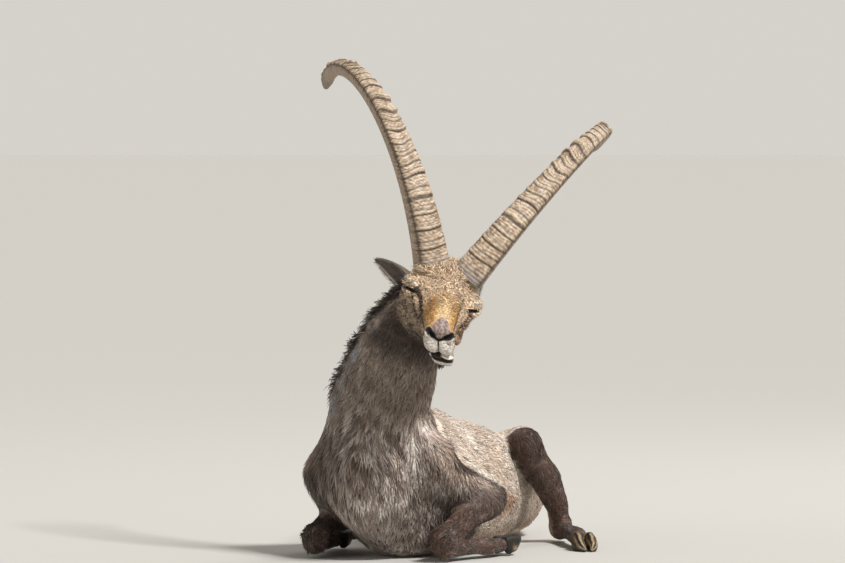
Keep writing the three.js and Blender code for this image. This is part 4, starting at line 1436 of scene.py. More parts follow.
@dataclass(frozen=True)
class Shape:
    """A mesh to be: points in millimetres, triangles, a colour for each point and a UV for each point."""

    points: Array
    triangles: Array
    colours: Array | None = None
    uv: Array | None = None

    def joined(self, other: "Shape") -> "Shape":
        """This shape and another, as one.

        Args:
            other: a shape with the same layers.

        Returns:
            The joined shape.
        """
        return Shape(
            np.concatenate([self.points, other.points]),
            np.concatenate([self.triangles, other.triangles + len(self.points)]),
            None if self.colours is None else np.concatenate([self.colours, other.colours]),
            None if self.uv is None else np.concatenate([self.uv, other.uv]),
        )

    def make(self, name: str, material: bpy.types.Material, slot: str, nodes: list[str]) -> bpy.types.Object:
        """Makes the Blender object, riding on the one body.

        Args:
            name: of the piece.
            material: its finish.
            slot: the slot for that finish; not used.
            nodes: the solids that it stands for.

        Returns:
            The object.
        """
        mesh = bpy.data.meshes.new(name)
        count = len(self.triangles)
        mesh.vertices.add(len(self.points))
        mesh.vertices.foreach_set("co", (self.points * METRES).astype(np.float32).ravel())
        mesh.loops.add(3 * count)
        mesh.loops.foreach_set("vertex_index", self.triangles.astype(np.int32).ravel())
        mesh.polygons.add(count)
        mesh.polygons.foreach_set("loop_start", np.arange(0, 3 * count, 3, dtype=np.int32))
        mesh.update(calc_edges=True)
        mesh.validate()
        mesh.shade_smooth()
        if self.colours is not None:
            layer = mesh.color_attributes.new("Coat", "FLOAT_COLOR", "POINT")
            rgba = np.concatenate([self.colours, np.ones((len(self.colours), 1))], axis=1)
            layer.data.foreach_set("color", rgba.astype(np.float32).ravel())
        if self.uv is not None:
            layer = mesh.uv_layers.new(name="OFBake")
            layer.data.foreach_set("uv", self.uv[self.triangles.ravel()].astype(np.float32).ravel())
        mesh.materials.append(material)
        piece = bpy.data.objects.new(name, mesh)
        bpy.context.scene.collection.objects.link(piece)
        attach(piece, "root")
        if nodes:
            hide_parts(*nodes)
        LOG.info("%s: %d triangles", name, count)
        return piece


def tube(rings: Array) -> Array:
    """The triangles of a closed tube of rings, each end closed by a fan to the ring's first point.

    Args:
        rings: points, ring by ring, shape (rings, sides, 3).

    Returns:
        The triangles, facing outwards, for the points of the rings in order.
    """
    count, sides = rings.shape[:2]
    r, i = np.meshgrid(np.arange(count - 1), np.arange(sides), indexing="ij")
    j = (i + 1) % sides
    a, b, c, d = r * sides + i, r * sides + j, (r + 1) * sides + j, (r + 1) * sides + i
    wall = [np.stack(corners, -1).reshape(-1, 3) for corners in ((a, b, c), (a, c, d))]
    k = np.arange(1, sides - 1)
    start = np.stack([0 * k, k + 1, k], axis=1)
    end = (count - 1) * sides + np.stack([0 * k, k, k + 1], axis=1)
    triangles = np.concatenate([*wall, start, end])
    u, v, w = (rings.reshape(-1, 3)[triangles[:, n]] for n in range(3))
    volume = np.einsum("ij,ij->", u, np.cross(v, w))
    return triangles if volume > 0 else triangles[:, ::-1]


# Finishes


@dataclass(frozen=True)
class Fibrous:
    """What dry hair and horn share: their own colours, mottled clump by clump, and a bump of clumps."""

    name: str
    grain: float = 3.5  # width of a clump, in millimetres
    detail: float = 3.0
    coarse: float = 0.6  # how strong the finer clumps are
    dark: float = 0.78  # factor of the darkest clumps
    pale: float = 1.16  # factor of the palest
    bump: float = 0.35
    bump_depth: float = 0.0012

    def surface(self) -> dict:
        """Settings of the shader."""
        return {}

    def fibres(self, tree: bpy.types.NodeTree) -> dict:
        """Makes the mottled colour and the bump.

        Args:
            tree: the material's node tree.

        Returns:
            What feeds the shader.
        """
        colour = add_node(tree, "ShaderNodeAttribute", {"attribute_name": "Coat"}, {})
        place = add_node(tree, "ShaderNodeTexCoord", {}, {})
        grain = {"Scale": 1.0 / (self.grain * METRES), "Detail": self.detail, "Roughness": self.coarse}
        fine = add_node(tree, "ShaderNodeTexNoise", grain, {"Vector": place.outputs["Object"]})
        span = {"From Min": 0.3, "From Max": 0.7, "To Min": self.dark, "To Max": self.pale}
        shade = add_node(tree, "ShaderNodeMapRange", span, {"Value": fine.outputs["Fac"]})
        feeds = {0: colour.outputs["Color"], "Scale": shade.outputs["Result"]}
        tinted = add_node(tree, "ShaderNodeVectorMath", {"operation": "SCALE"}, feeds)
        depth = {"Strength": self.bump, "Distance": self.bump_depth}
        relief = add_node(tree, "ShaderNodeBump", depth, {"Height": fine.outputs["Fac"]})
        return {"Base Color": tinted.outputs["Vector"], "Normal": relief.outputs["Normal"]}

    def make(self) -> bpy.types.Material:
        """The material."""
        return dressed(self.name, self.surface(), self.fibres)


@dataclass(frozen=True)
class CoatFinish(Fibrous):
    """Dry summer hair over skin: matt, with a soft sheen at grazing angles and fine clumps."""

    def surface(self) -> dict:
        """Settings of the shader: matt keratin with a little sheen."""
        matt = {"Roughness": 0.72, "IOR": 1.55, "Specular IOR Level": 0.28}
        return {**matt, "Sheen Weight": 0.12, "Sheen Roughness": 0.5}


@dataclass(frozen=True)
class HornFinish(Fibrous):
    """Dry ridged horn: keratin a little smoother than hair, with fine fibres."""

    name: str = "ridged_horn_keratin"
    grain: float = 1.6
    detail: float = 4.0
    coarse: float = 0.65
    dark: float = 0.82
    pale: float = 1.14
    bump: float = 0.3
    bump_depth: float = 0.0006

    def surface(self) -> dict:
        """Settings of the shader."""
        return {"Roughness": 0.55, "IOR": 1.54, "Specular IOR Level": 0.4}


@dataclass(frozen=True)
class WetFinish:
    """The surface of the eye: dark, smooth and wet, so that it shines where the lids leave it open."""

    name: str = "wet_eye"
    colour: str = "#1a0f08"
    cloud: float = 3.85  # width of a paler patch, in millimetres

    def clouds(self, tree: bpy.types.NodeTree) -> dict:
        """Makes the dark colour with its slightly paler patches.

        Args:
            tree: the material's node tree.

        Returns:
            What feeds the shader.
        """
        place = add_node(tree, "ShaderNodeTexCoord", {}, {})
        size = {"Scale": 1.0 / (self.cloud * METRES), "Detail": 2.0}
        patches = add_node(tree, "ShaderNodeTexNoise", size, {"Vector": place.outputs["Object"]})
        dark = linear(self.colour)
        tones = {"data_type": "RGBA", 6: (*dark, 1.0), 7: (*(dark * 1.8), 1.0)}
        shade = add_node(tree, "ShaderNodeMix", tones, {0: patches.outputs["Fac"]})
        return {"Base Color": shade.outputs[2]}

    def make(self) -> bpy.types.Material:
        """The material."""
        return dressed(self.name, {"Roughness": 0.08, "IOR": 1.38, "Coat Weight": 0.6}, self.clouds)


@dataclass(frozen=True)
class FloorFinish:
    """Plain pale matt paper, which shows only the animal's soft shadow."""

    name: str = "plain_floor"
    colour: str = "#c3c0ba"

    def make(self) -> bpy.types.Material:
        """The material."""
        matt = {"Base Color": (*linear(self.colour), 1.0), "Roughness": 0.9, "Specular IOR Level": 0.2}
        return dressed(self.name, matt, lambda tree: {})


# Skin


@dataclass
class Skin:
    """The one skin of all the flesh, finer at the head and finest round the eyes, nose and mouth."""

    body: Body
    markings: Markings
    cell: float = 7.0
    low: tuple = (-800.0, -350.0, -14.0)
    high: tuple = (400.0, 330.0, 660.0)

    def build(self) -> None:
        """Meshes the flesh, refines the head and lays what is below the floor flat."""
        form = self.body.skin
        points, triangles = net(form, self.low, self.high, self.cell)
        points = settle(form, points, self.cell / 2)
        LOG.info("skin net: %d triangles", len(triangles))
        for level, wanted in enumerate((self.near_head, self.near_face, self.near_openings)):
            chosen = wanted(points)
            old = len(points)
            points, triangles = refine(points, triangles, chosen)
            fresh = np.ones(len(points), bool)
            fresh[:old] = chosen
            points[fresh] = settle(form, points[fresh], self.cell / 2 ** (level + 2))
        points[:, 2] = np.maximum(points[:, 2], FLOOR)
        self.points, self.triangles = points, triangles
        self.normals = normals_of(points, triangles)
        self.weights = self.markings.weights(points)
        self.colours = self.markings.colour(points, self.weights)
        LOG.info("skin: %d triangles", len(triangles))

    def near_head(self, p: Array) -> Array:
        """Whether points are on the head."""
        return (self.body.parts[Part.HEAD](p) < 14) & (to_head(p)[:, 0] > -95)

    def near_face(self, p: Array) -> Array:
        """Whether points are on the muzzle or round the eyes."""
        q = to_head(p)
        eye = np.linalg.norm(folded(q) - point(6, 60, 4), axis=1) < 30
        return (self.body.parts[Part.HEAD](p) < 14) & ((q[:, 0] > 84) | eye)

    def near_openings(self, p: Array) -> Array:
        """Whether points are round the nostrils, the mouth or the slits of the eyes.

        Args:
            p: points.

        Returns:
            True or false for each.
        """
        q = to_head(p)
        above = self.body.parting(q)
        close = (above > -20) & (above < 7) & (q[:, 0] > 76)
        for name, far in (("slit", 8.0), ("nostril", 11.0), ("nostril line", 6.0), ("philtrum", 4.0)):
            close |= self.body.lines[name].far(q) < far
        return close & (self.body.parts[Part.HEAD](p) < 14)

    def bare(self, p: Array) -> Array:
        """Where no hair grows: on the nose, the nostrils, the lips and the slits of the eyes.

        Args:
            p: points.

        Returns:
            True or false for each.
        """
        q = to_head(p)
        none = (q[:, 0] - 124.0 - 0.07 * q[:, 1] ** 2 > 0) & (q[:, 2] > -22)
        for name, far in (("slit", 5.4), ("nostril", 7.4), ("nostril line", 3.6), ("philtrum", 2.2)):
            none |= self.body.lines[name].far(q) < far
        above = self.body.parting(q)
        return none | ((above > np.where(q[:, 0] > 106, -19.0, -4.0)) & (above < 4))


FLESH_NODES = ["torso", "neck", "head", "jaw", "tail"] + [
    f"{leg}_{side}_{bone}"
    for leg, bones in (("foreleg", ("forearm", "cannon")), ("hindleg", ("thigh", "gaskin", "cannon")))
    for side in ("left", "right")
    for bone in bones
]


# Ears


@dataclass
class Ear:
    """A leaf rolled into a cup, dark inside with pale hair, in the head's frame."""

    side: int
    way: tuple
    open_way: tuple
    length: float = 125.0
    half_width: float = 25.0
    wall: float = 4.0
    sunk: float = 14.0
    root: tuple = (-72.0, 55.0, -20.0)
    root_roll: float = 150.0
    tip_roll: float = 62.0

    def frame(self) -> Frame:
        """The ear's own frame: x to the tip, z out of the back of the cup."""
        root = HEAD.place((self.root[0], self.side * self.root[1], self.root[2]))
        return Frame.at(root, HEAD.turn(self.way), HEAD.turn(self.open_way))

    def roll(self, t: Array) -> Array:
        """How far the leaf is rolled to each side at shares of its length, in radians."""
        return np.radians(self.root_roll + (self.tip_roll - self.root_roll) * t**0.6)

    def rows(self, grow: float, steps: int, sides: int) -> tuple[Array, Array, Array]:
        """One face of the cup as a grid.

        The leaf's half width follows sin(pi t)^0.7 along its length t, and its section is an arc that
        opens from the roll at the root to that at the tip.

        Args:
            grow: how far the face lies outside the back of the cup.
            steps: rows along the ear.
            sides: points across it.

        Returns:
            Points, the share along the ear, and the share across it from -1 to 1.
        """
        t = np.linspace(0.0, 1.0, steps)[:, None]
        v = np.linspace(-1.0, 1.0, sides)[None, :]
        width = self.half_width * np.sin(math.pi * np.minimum(0.12 + 0.86 * t, 0.985)) ** 0.7
        depth = (0.95 + (0.35 - 0.95) * t) * width
        inset = np.minimum(self.wall, 0.5 * width) * grow
        a = v * self.roll(t)
        x = self.length * t - self.sunk + 0 * v
        y = np.sin(a) * (width - inset)
        z = (1 - np.cos(a)) * (depth - inset) - depth + inset
        return self.frame().place(np.stack([x, y, z], -1)), t + 0 * v, v + 0 * t

    def shape(self) -> Shape:
        """The closed leaf with its colours: brown outside and dark inside, with a pale rim."""
        outer, _, v = self.rows(0.0, 40, 26)
        inner, _, _ = self.rows(1.0, 40, 26)
        rings = np.concatenate([outer, inner[:, ::-1]], axis=1)
        rim = smooth(0.72, 0.96, np.abs(v))
        back = mixed(plain(Tone.EAR_BACK, v), (Tone.EAR_EDGE, 0.6 * rim))
        inside = mixed(plain(Tone.EAR_INSIDE, v), (Tone.EAR_FRINGE, rim))
        colours = np.concatenate([back, inside[:, ::-1]], axis=1)
        return Shape(rings.reshape(-1, 3), tube(rings), colours.reshape(-1, 3))


# Horns


@dataclass
class Horn:
    """A horn that leans out, curves back and is knobbed across its front."""

    side: int
    lean: float
    flare: float
    twist: float
    root: tuple = (-45.0, 38.0, 42.0)
    length: float = 786.0
    rise: float = 107.6
    bend: float = 354.0
    width: float = 33.0
    depth: float = 36.0
    knob_spacing: float = 29.0
    knob_height: float = 6.0
    knob_start: float = 60.0
    ring_spacing: float = 6.8

    def line(self, count: int) -> tuple[Array, Array, Array, Array]:
        """The line of the horn: an arc in a leaning plane, turned out of it evenly by the twist.

        Args:
            count: how many places on it.

        Returns:
            Places, the way on, the way to the front, and the run along the horn.
        """
        lean = math.radians(self.lean)
        run = np.linspace(0.0, self.length, count)
        rise = math.radians(self.rise) + run / self.bend
        turn = math.radians(self.twist) * run / self.length
        sin_l, cos_l = math.sin(lean), math.cos(lean)
        plane = np.stack([np.cos(rise), sin_l * np.sin(rise), cos_l * np.sin(rise)], 1)
        front = self.opened(np.stack([np.sin(rise), -sin_l * np.cos(rise), -cos_l * np.cos(rise)], 1))
        out = point(0.0, cos_l, -sin_l)
        way = self.opened(plane * np.cos(turn)[:, None] + out * np.sin(turn)[:, None])
        pace = self.length / (count - 1)
        start = HEAD.place((self.root[0], self.side * self.root[1], self.root[2]))
        places = start + np.concatenate([np.zeros((1, 3)), np.cumsum(way[:-1] * pace, axis=0)])
        return places, way, front, run

    def opened(self, v: Array) -> Array:
        """Directions turned outwards by the flare, on this horn's side, in the model's frame."""
        c, s = math.cos(math.radians(self.flare)), math.sin(math.radians(self.flare))
        across = self.side * (v[:, 1] * c - v[:, 0] * s)
        return HEAD.turn(np.stack([v[:, 0] * c + v[:, 1] * s, across, v[:, 2]], 1))

    def knob(self, run: Array) -> Array:
        """The height of the front at a run: rounded knobs, low near the root and strong further out.

        Args:
            run: lengths along the horn.

        Returns:
            The height at each.
        """
        wave = 1.25 * np.exp(-((self.phase(run) / 0.17) ** 2)) - 0.25
        strength = np.clip((run - 60) / 260, 0.3, 1) * np.clip((self.length - run) / 70, 0, 1)
        uneven = 0.7 + 0.5 * np.sin(2.4 * np.round(self.place(run)) ** 2)
        return np.where(run < self.knob_start / 2, 0.0, self.knob_height * strength * wave * uneven)

    def place(self, run: Array) -> Array:
        """How many knobs lie before a run along the horn."""
        even = (run - self.knob_start) / self.knob_spacing
        return even + 0.34 * np.sin(run / 41.0) + 0.16 * np.sin(run / 17.0)

    def phase(self, run: Array) -> Array:
        """How far a run is from the nearest knob, from -0.5 to 0.5 of their spacing."""
        place = self.place(run)
        return place - np.round(place)

    def shape(self) -> Shape:
        """The horn: a cubic super-ellipse section carried along the line, with knobs, rings and grooves.

        Returns:
            The shape with its colours.
        """
        count, sides = 520, 48
        places, way, front, run = self.line(count)
        y = unit(np.cross(front, way))
        z = np.cross(way, y)
        run = run[:, None]
        t = run / self.length
        slim = (1 - t + 0.34 * t * t) * np.sqrt(np.clip((1.015 - t) / 0.06, 0.02, 1))
        a = math.tau * (np.arange(sides) + 0.5)[None, :] / sides
        c, s = np.cos(a), np.sin(a)
        square = (np.abs(c) ** 3 + np.abs(s) ** 3) ** (-1 / 3)
        wander = 5.0 * np.sin(2.0 * a + 5.0 * t) + 3.5 * np.sin(run / 37.0 + 3.0 * a)
        bent = run + wander * np.clip(t * 4, 0, 1)
        faced = np.cos(a - math.radians(34.0 * self.side))
        flat = bent.ravel() / 9
        uneven = 0.75 + 0.5 * noise(np.stack([flat, 0 * flat, 0 * flat], 1), 9, 24)
        knob = self.knob(bent) * np.clip(faced + 0.25, 0, 1) * uneven.reshape(bent.shape)
        wavy = bent + 2.6 * np.sin(bent / 31.0) + 1.1 * np.sin(bent / 5.3 + a)
        ring = np.sin(math.tau * wavy / self.ring_spacing)
        facing = 0.35 + 0.65 * np.clip(faced + 0.45, 0, 1)
        fine = 0.6 * facing * np.clip(ring, -1, 0.3) * np.clip((1 - t) * 6, 0, 1)
        corner = math.radians(304.0 if self.side > 0 else 56.0)
        furrow = np.exp(-(((a - corner) / 0.13) ** 2))  # between the front and the outer side
        relief = fine - 1.8 * furrow * slim
        w = s * square * (self.width * slim * (1 + 0.14 * c) + 0.5 * knob + relief)
        d = c * square * (self.depth * slim + knob + relief)
        points = places[:, None] + y[:, None] * w[..., None] + z[:, None] * d[..., None]
        colours = self.colours(points, t + 0 * a, ring, bent, facing + 0 * bent, furrow + 0 * bent)
        return Shape(points.reshape(-1, 3), tube(points), colours.reshape(-1, 3))

    def colours(self, points: Array, t: Array, ring: Array, run: Array, facing: Array, furrow: Array) -> Array:
        """Beige horn with painted shade in grooves, under knobs, in the furrow and on the sides, painted
        highlights on crests, grey root, darker tip.

        Args:
            points: of the horn.
            t: share of its length at each.
            ring: the wave of the rings, -1 in their grooves.
            run: length along the horn, bent with the knobs.
            facing: 1 on the front, less on the sides and back.
            furrow: 1 in the furrow between the front and the outer side.

        Returns:
            Linear colours.
        """
        flat = points.reshape(-1, 3)
        draws = ((26, 21), (5, 23), (15, 22))
        patch, speck, worn = (noise(flat, size, seed).reshape(t.shape) for size, seed in draws)
        # painted shade in the grooves between rings; the noise worn only varies how strong it is
        groove = smooth(-0.45, -0.95, ring) * (0.3 + 0.7 * worn)
        phase = self.phase(run)
        # painted shade under each knob
        under = np.exp(-(((phase + 0.2) / 0.07) ** 2)) + 0.6 * np.exp(-(((phase - 0.2) / 0.06) ** 2))
        # painted highlight on the knobs' crests
        crest = np.exp(-((phase / 0.1) ** 2)) * facing * (t > 0.04)
        # painted shade: the grooves, under the knobs and the furrow
        dark = 0.8 * groove * facing + 0.95 * under * facing * (t > 0.04) + 0.85 * furrow
        return mixed(
            plain(Tone.HORN, t),
            (Tone.HORN_PATCH, 0.7 * patch),
            (Tone.HORN_PALE, 0.6 * smooth(0.5, 0.75, speck)),
            (Tone.HORN_SPECK, 0.6 * smooth(0.42, 0.2, speck)),
            (Tone.HORN_ROOT, 1 - t / 0.04),
            (Tone.HORN_CREST_HIGHLIGHT, 0.4 * crest),
            (Tone.HORN_GROOVE_SHADE, np.minimum(dark, 0.93)),
            # painted shade on the sides and back
            (Tone.HORN_SIDE_SHADE, 0.5 * smooth(0.75, 0.45, facing)),
            (Tone.HORN_TIP, 0.6 * smooth(0.88, 1.0, t)),
        )


# Hooves


@dataclass
class Foot:
    """The two claws of a foot, in a frame with x to the toe and z away from the sole."""

    frame: Frame
    length: float
    name: str

    def claw(self, hand: int) -> Shape:
        """One claw: rounded sections whose half width, top and sole follow the toe's taper.

        Args:
            hand: 1 for the outer claw and -1 for the inner one.

        Returns:
            The claw, streaked along its length.
        """
        t = np.linspace(-0.1, 1.0, 34)[:, None]
        stops = [-0.1, 0.12, 0.55, 0.86, 1.0]
        half = np.interp(t, stops, [10, 12.2, 11.6, 8.4, 3.0])
        top = np.interp(t, stops, [24, 37, 31, 17, 6])
        sole = np.interp(t, stops, [3, 0.1, 0.1, 0.1, 0.6])
        a = math.tau * np.arange(28)[None, :] / 28
        y, z = (np.sign(w) * np.abs(w) ** 0.62 for w in (np.cos(a), np.sin(a)))
        lift = (z + 1) / 2
        across = hand * (half + 1 + 2 * t) + y * half * (1 - 0.35 * lift**2)
        rings = self.frame.place(np.stack([t * self.length + 0 * a, across, sole + (top - sole) * lift], -1))
        streak = 0.5 + 0.5 * np.sin(a * 5.0 + 0.8 * np.sin(t * 7 + hand))
        cream = smooth(0.55, 0.9, streak) * smooth(0.25, 0.6, lift) * smooth(0.05, 0.4, t)
        growth = 0.5 + 0.5 * np.sin(t * 46 + 0.4 * np.sin(a * 3))
        base = mixed(plain(Tone.HOOF, cream), (Tone.HOOF_CREAM, 0.75 * cream))
        colours = base * (0.82 + 0.25 * growth)[..., None]
        return Shape(rings.reshape(-1, 3), tube(rings), colours.reshape(-1, 3))


# Eyes


@dataclass
class Eye:
    """An eyeball: a ball of latitude rings about the head's x axis."""

    side: int

    def shape(self) -> Shape:
        """The ball as rings of points at equal angles."""
        polar = math.pi * (np.arange(24) + 0.5)[:, None] / 24
        a = math.tau * np.arange(36)[None, :] / 36
        q = np.stack([np.cos(polar) + 0 * a, np.sin(polar) * np.cos(a), np.sin(polar) * np.sin(a)], -1)
        centre = from_head(point(EYE_PLACE[0], self.side * EYE_PLACE[1], EYE_PLACE[2]))
        rings = centre + HEAD.turn(q * EYE_RADIUS)
        return Shape(rings.reshape(-1, 3), tube(rings))


# Coat


@dataclass(frozen=True)
class Hair:
    """How hair grows on a part: spacing of tufts, their length, width, lift in degrees, curl and fleck."""

    spacing: float
    length: float
    width: float
    lift: float
    curl: float
    fleck: float


HAIR = {
    Part.TRUNK: Hair(4.7, 14.0, 2.9, 9.0, 0.10, 0.10),
    Part.NECK: Hair(3.9, 13.0, 2.3, 9.0, 0.14, 0.20),
    Part.HEAD: Hair(2.6, 8.5, 2.1, 20.0, 0.55, 0.16),
    **{part: Hair(3.9, 10.0, 2.3, 9.0, 0.12, 0.16) for part in LIMBS},
    Part.TAIL: Hair(3.6, 30.0, 3.4, 24.0, 0.20, 0.10),
}


@dataclass
class Roots:
    """Where tufts grow: places, normals, colours, and the share of each part of the body."""

    points: Array
    normals: Array
    colours: Array
    weights: dict[Part, Array]

    def pick(self, chosen: Array) -> "Roots":
        """Some of the roots."""
        weights = {part: share[chosen] for part, share in self.weights.items()}
        return Roots(self.points[chosen], self.normals[chosen], self.colours[chosen], weights)

    def mean(self, name: str) -> Array:
        """A measure of the hair at each root, averaged over the parts that share it."""
        return sum(share * getattr(HAIR[part], name) for part, share in self.weights.items())

    def owner(self) -> Array:
        """The number of the part that owns each root."""
        return np.argmax(np.stack([self.weights[part] for part in Part]), axis=0)

    def lie(self) -> Array:
        """The way that hair lies: down each limb, back along the trunk, down the neck, back on the face.

        Returns:
            Unit directions along the skin.
        """
        p = self.points
        q = to_head(p)
        chest = smooth(-20.0, 90.0, p[:, 0])[:, None]
        x, y, z = HEAD.axes
        swirl = noise(p, 30, 31)[:, None] - 0.5
        up = smooth(0.0, 40.0, q[:, 0])[:, None]
        apart = 0.35 * np.sign(q[:, 1])[:, None]
        ways = {
            Part.TRUNK: point(-1.0, 0.0, -0.45) * (1 - chest) + point(-0.15, 0.0, -1.0) * chest,
            Part.NECK: np.broadcast_to(point(0.05, 0, -0.1) - NECK_WAY, p.shape),
            Part.HEAD: -x * (0.6 + 0.4 * up) - z * 0.25 + y * swirl * 1.4 + y * apart,
            **{part: limb.hair_way(p) for part, limb in LIMBS.items()},
            Part.TAIL: np.broadcast_to(point(-0.8, -0.15, -0.75), p.shape),
        }
        way = sum(share[:, None] * unit(ways[part]) for part, share in self.weights.items())
        return unit(flattened(way, self.normals) + 1e-4 * UP)

    def unwrap(self) -> Array:
        """A place for each root on an unwrap of the skin: along each part, and around it.

        The map is cut into eight strips, one for each part of the body. In a strip, u runs along the
        part and v runs around it by the angle of the point about the part's line.

        Returns:
            A u and v for each.
        """
        lines = {
            Part.TRUNK: np.array([s.at for s in TRUNK], float),
            Part.NECK: NECK_SPINE,
            Part.HEAD: HEAD.place([(-100, 0, -10), (0, 0, -20), (170, 0, -30)]),
            **{part: limb.line() for part, limb in LIMBS.items()},
            Part.TAIL: np.array([s.at for s in TAIL], float),
        }
        owner = self.owner()
        uv = np.zeros((len(self.points), 2))
        for part, line in lines.items():
            mine = owner == part.value
            p = self.points[mine]
            axes = Frame.at(line[0], line[-1] - line[0], point(0.3, 0.1, 1.0)).axes
            q = (p - on_path(line, along_path(p, line)[1])) @ axes.T
            beyond = ((p - line[0]) @ axes[0]) / np.linalg.norm(line[-1] - line[0])
            u = np.clip(0.12 + 0.76 * np.clip(beyond, -0.15, 1.15), 0.004, 0.996)
            v = (np.arctan2(q[:, 1], q[:, 2]) / math.tau + 0.5) * 0.96 + 0.02
            uv[mine] = np.stack([u, (part.value + v) / len(Part)], axis=1)
        return uv


@dataclass
class Tufts:
    """Tufts as closed, flat wedges of three sides, one for each row of the arrays."""

    root: Array
    way: Array  # unit ways that the hair lies, along the skin
    normal: Array  # unit normals of the skin
    length: Array
    width: Array
    lift: Array  # degrees from the skin
    bend: Array  # sideways vector added to the way towards the tip
    levels: int  # rings of points before the tip

    def wedges(self) -> tuple[Array, Array, Array]:
        """The points and faces.

        The middle line leaves the skin at the lift and leans back to it, or further along the bend, as
        the square of the share of the length. The half width tapers to nothing at the tip.

        Returns:
            Points by tuft, the triangles of one tuft, and the share along the tuft of each of its points.
        """
        side = unit(np.cross(self.normal, self.way))
        lift = np.radians(self.lift)
        rows, shares = [], []
        for t in np.arange(self.levels + 1) / self.levels:
            rise = np.sin(lift) * (t - 0.45 * t * t)
            lean = self.way * (np.cos(lift) * t)[:, None] + self.normal * (rise - 0.04)[:, None]
            middle = self.root + self.length[:, None] * (lean + self.bend * (t * t))
            half = side * (0.5 * self.width * (1.0 - 0.72 * t**1.6))[:, None]
            thick = self.normal * (0.34 * self.width * (1.0 - 0.6 * t))[:, None]
            ring = [middle - half, middle + half, middle + thick] if t < 1 else [middle]
            rows += ring
            shares += [t] * len(ring)
        faces = [(0, 2, 1)]
        for a in range(0, 3 * self.levels - 3, 3):
            for i, j in ((0, 1), (1, 2), (2, 0)):
                faces += [(a + i, a + j, a + j + 3), (a + i, a + j + 3, a + i + 3)]
        top = 3 * (self.levels - 1)
        faces += [(top + i, top + (i + 1) % 3, top + 3) for i in range(3)]
        return np.stack(rows, axis=1), np.array(faces), np.array(shares)

    def shape(self, colours: Array, uv: Array, dark: Array | float, pale: float) -> Shape:
        """The tufts as one shape.

        Args:
            colours: of each tuft.
            uv: the place of each on the unwrap, where it becomes a small patch.
            dark: factor of the colour at the root, a painted shade deep in the coat.
            pale: the same at the tip, a painted light on the tips.

        Returns:
            The shape.
        """
        points, faces, shares = self.wedges()
        points[..., 2] = np.maximum(points[..., 2], FLOOR)
        count, each = points.shape[:2]
        dark = np.broadcast_to(dark, count)[:, None, None]
        # painted shade and light: each tuft darker at its root and paler at its tip
        tints = np.clip(colours[:, None, :] * (dark + (pale - dark) * shares[None, :, None]), 0.0, 0.95)
        patch = PATCH * np.stack([shares - 0.5, np.resize([-0.5, 0.5, 0.0], each)], axis=1)
        triangles = (np.arange(count)[:, None, None] * each + faces[None]).reshape(-1, 3)
        uv = (uv[:, None] + patch).reshape(-1, 2)
        return Shape(points.reshape(-1, 3), triangles, tints.reshape(-1, 3), uv)


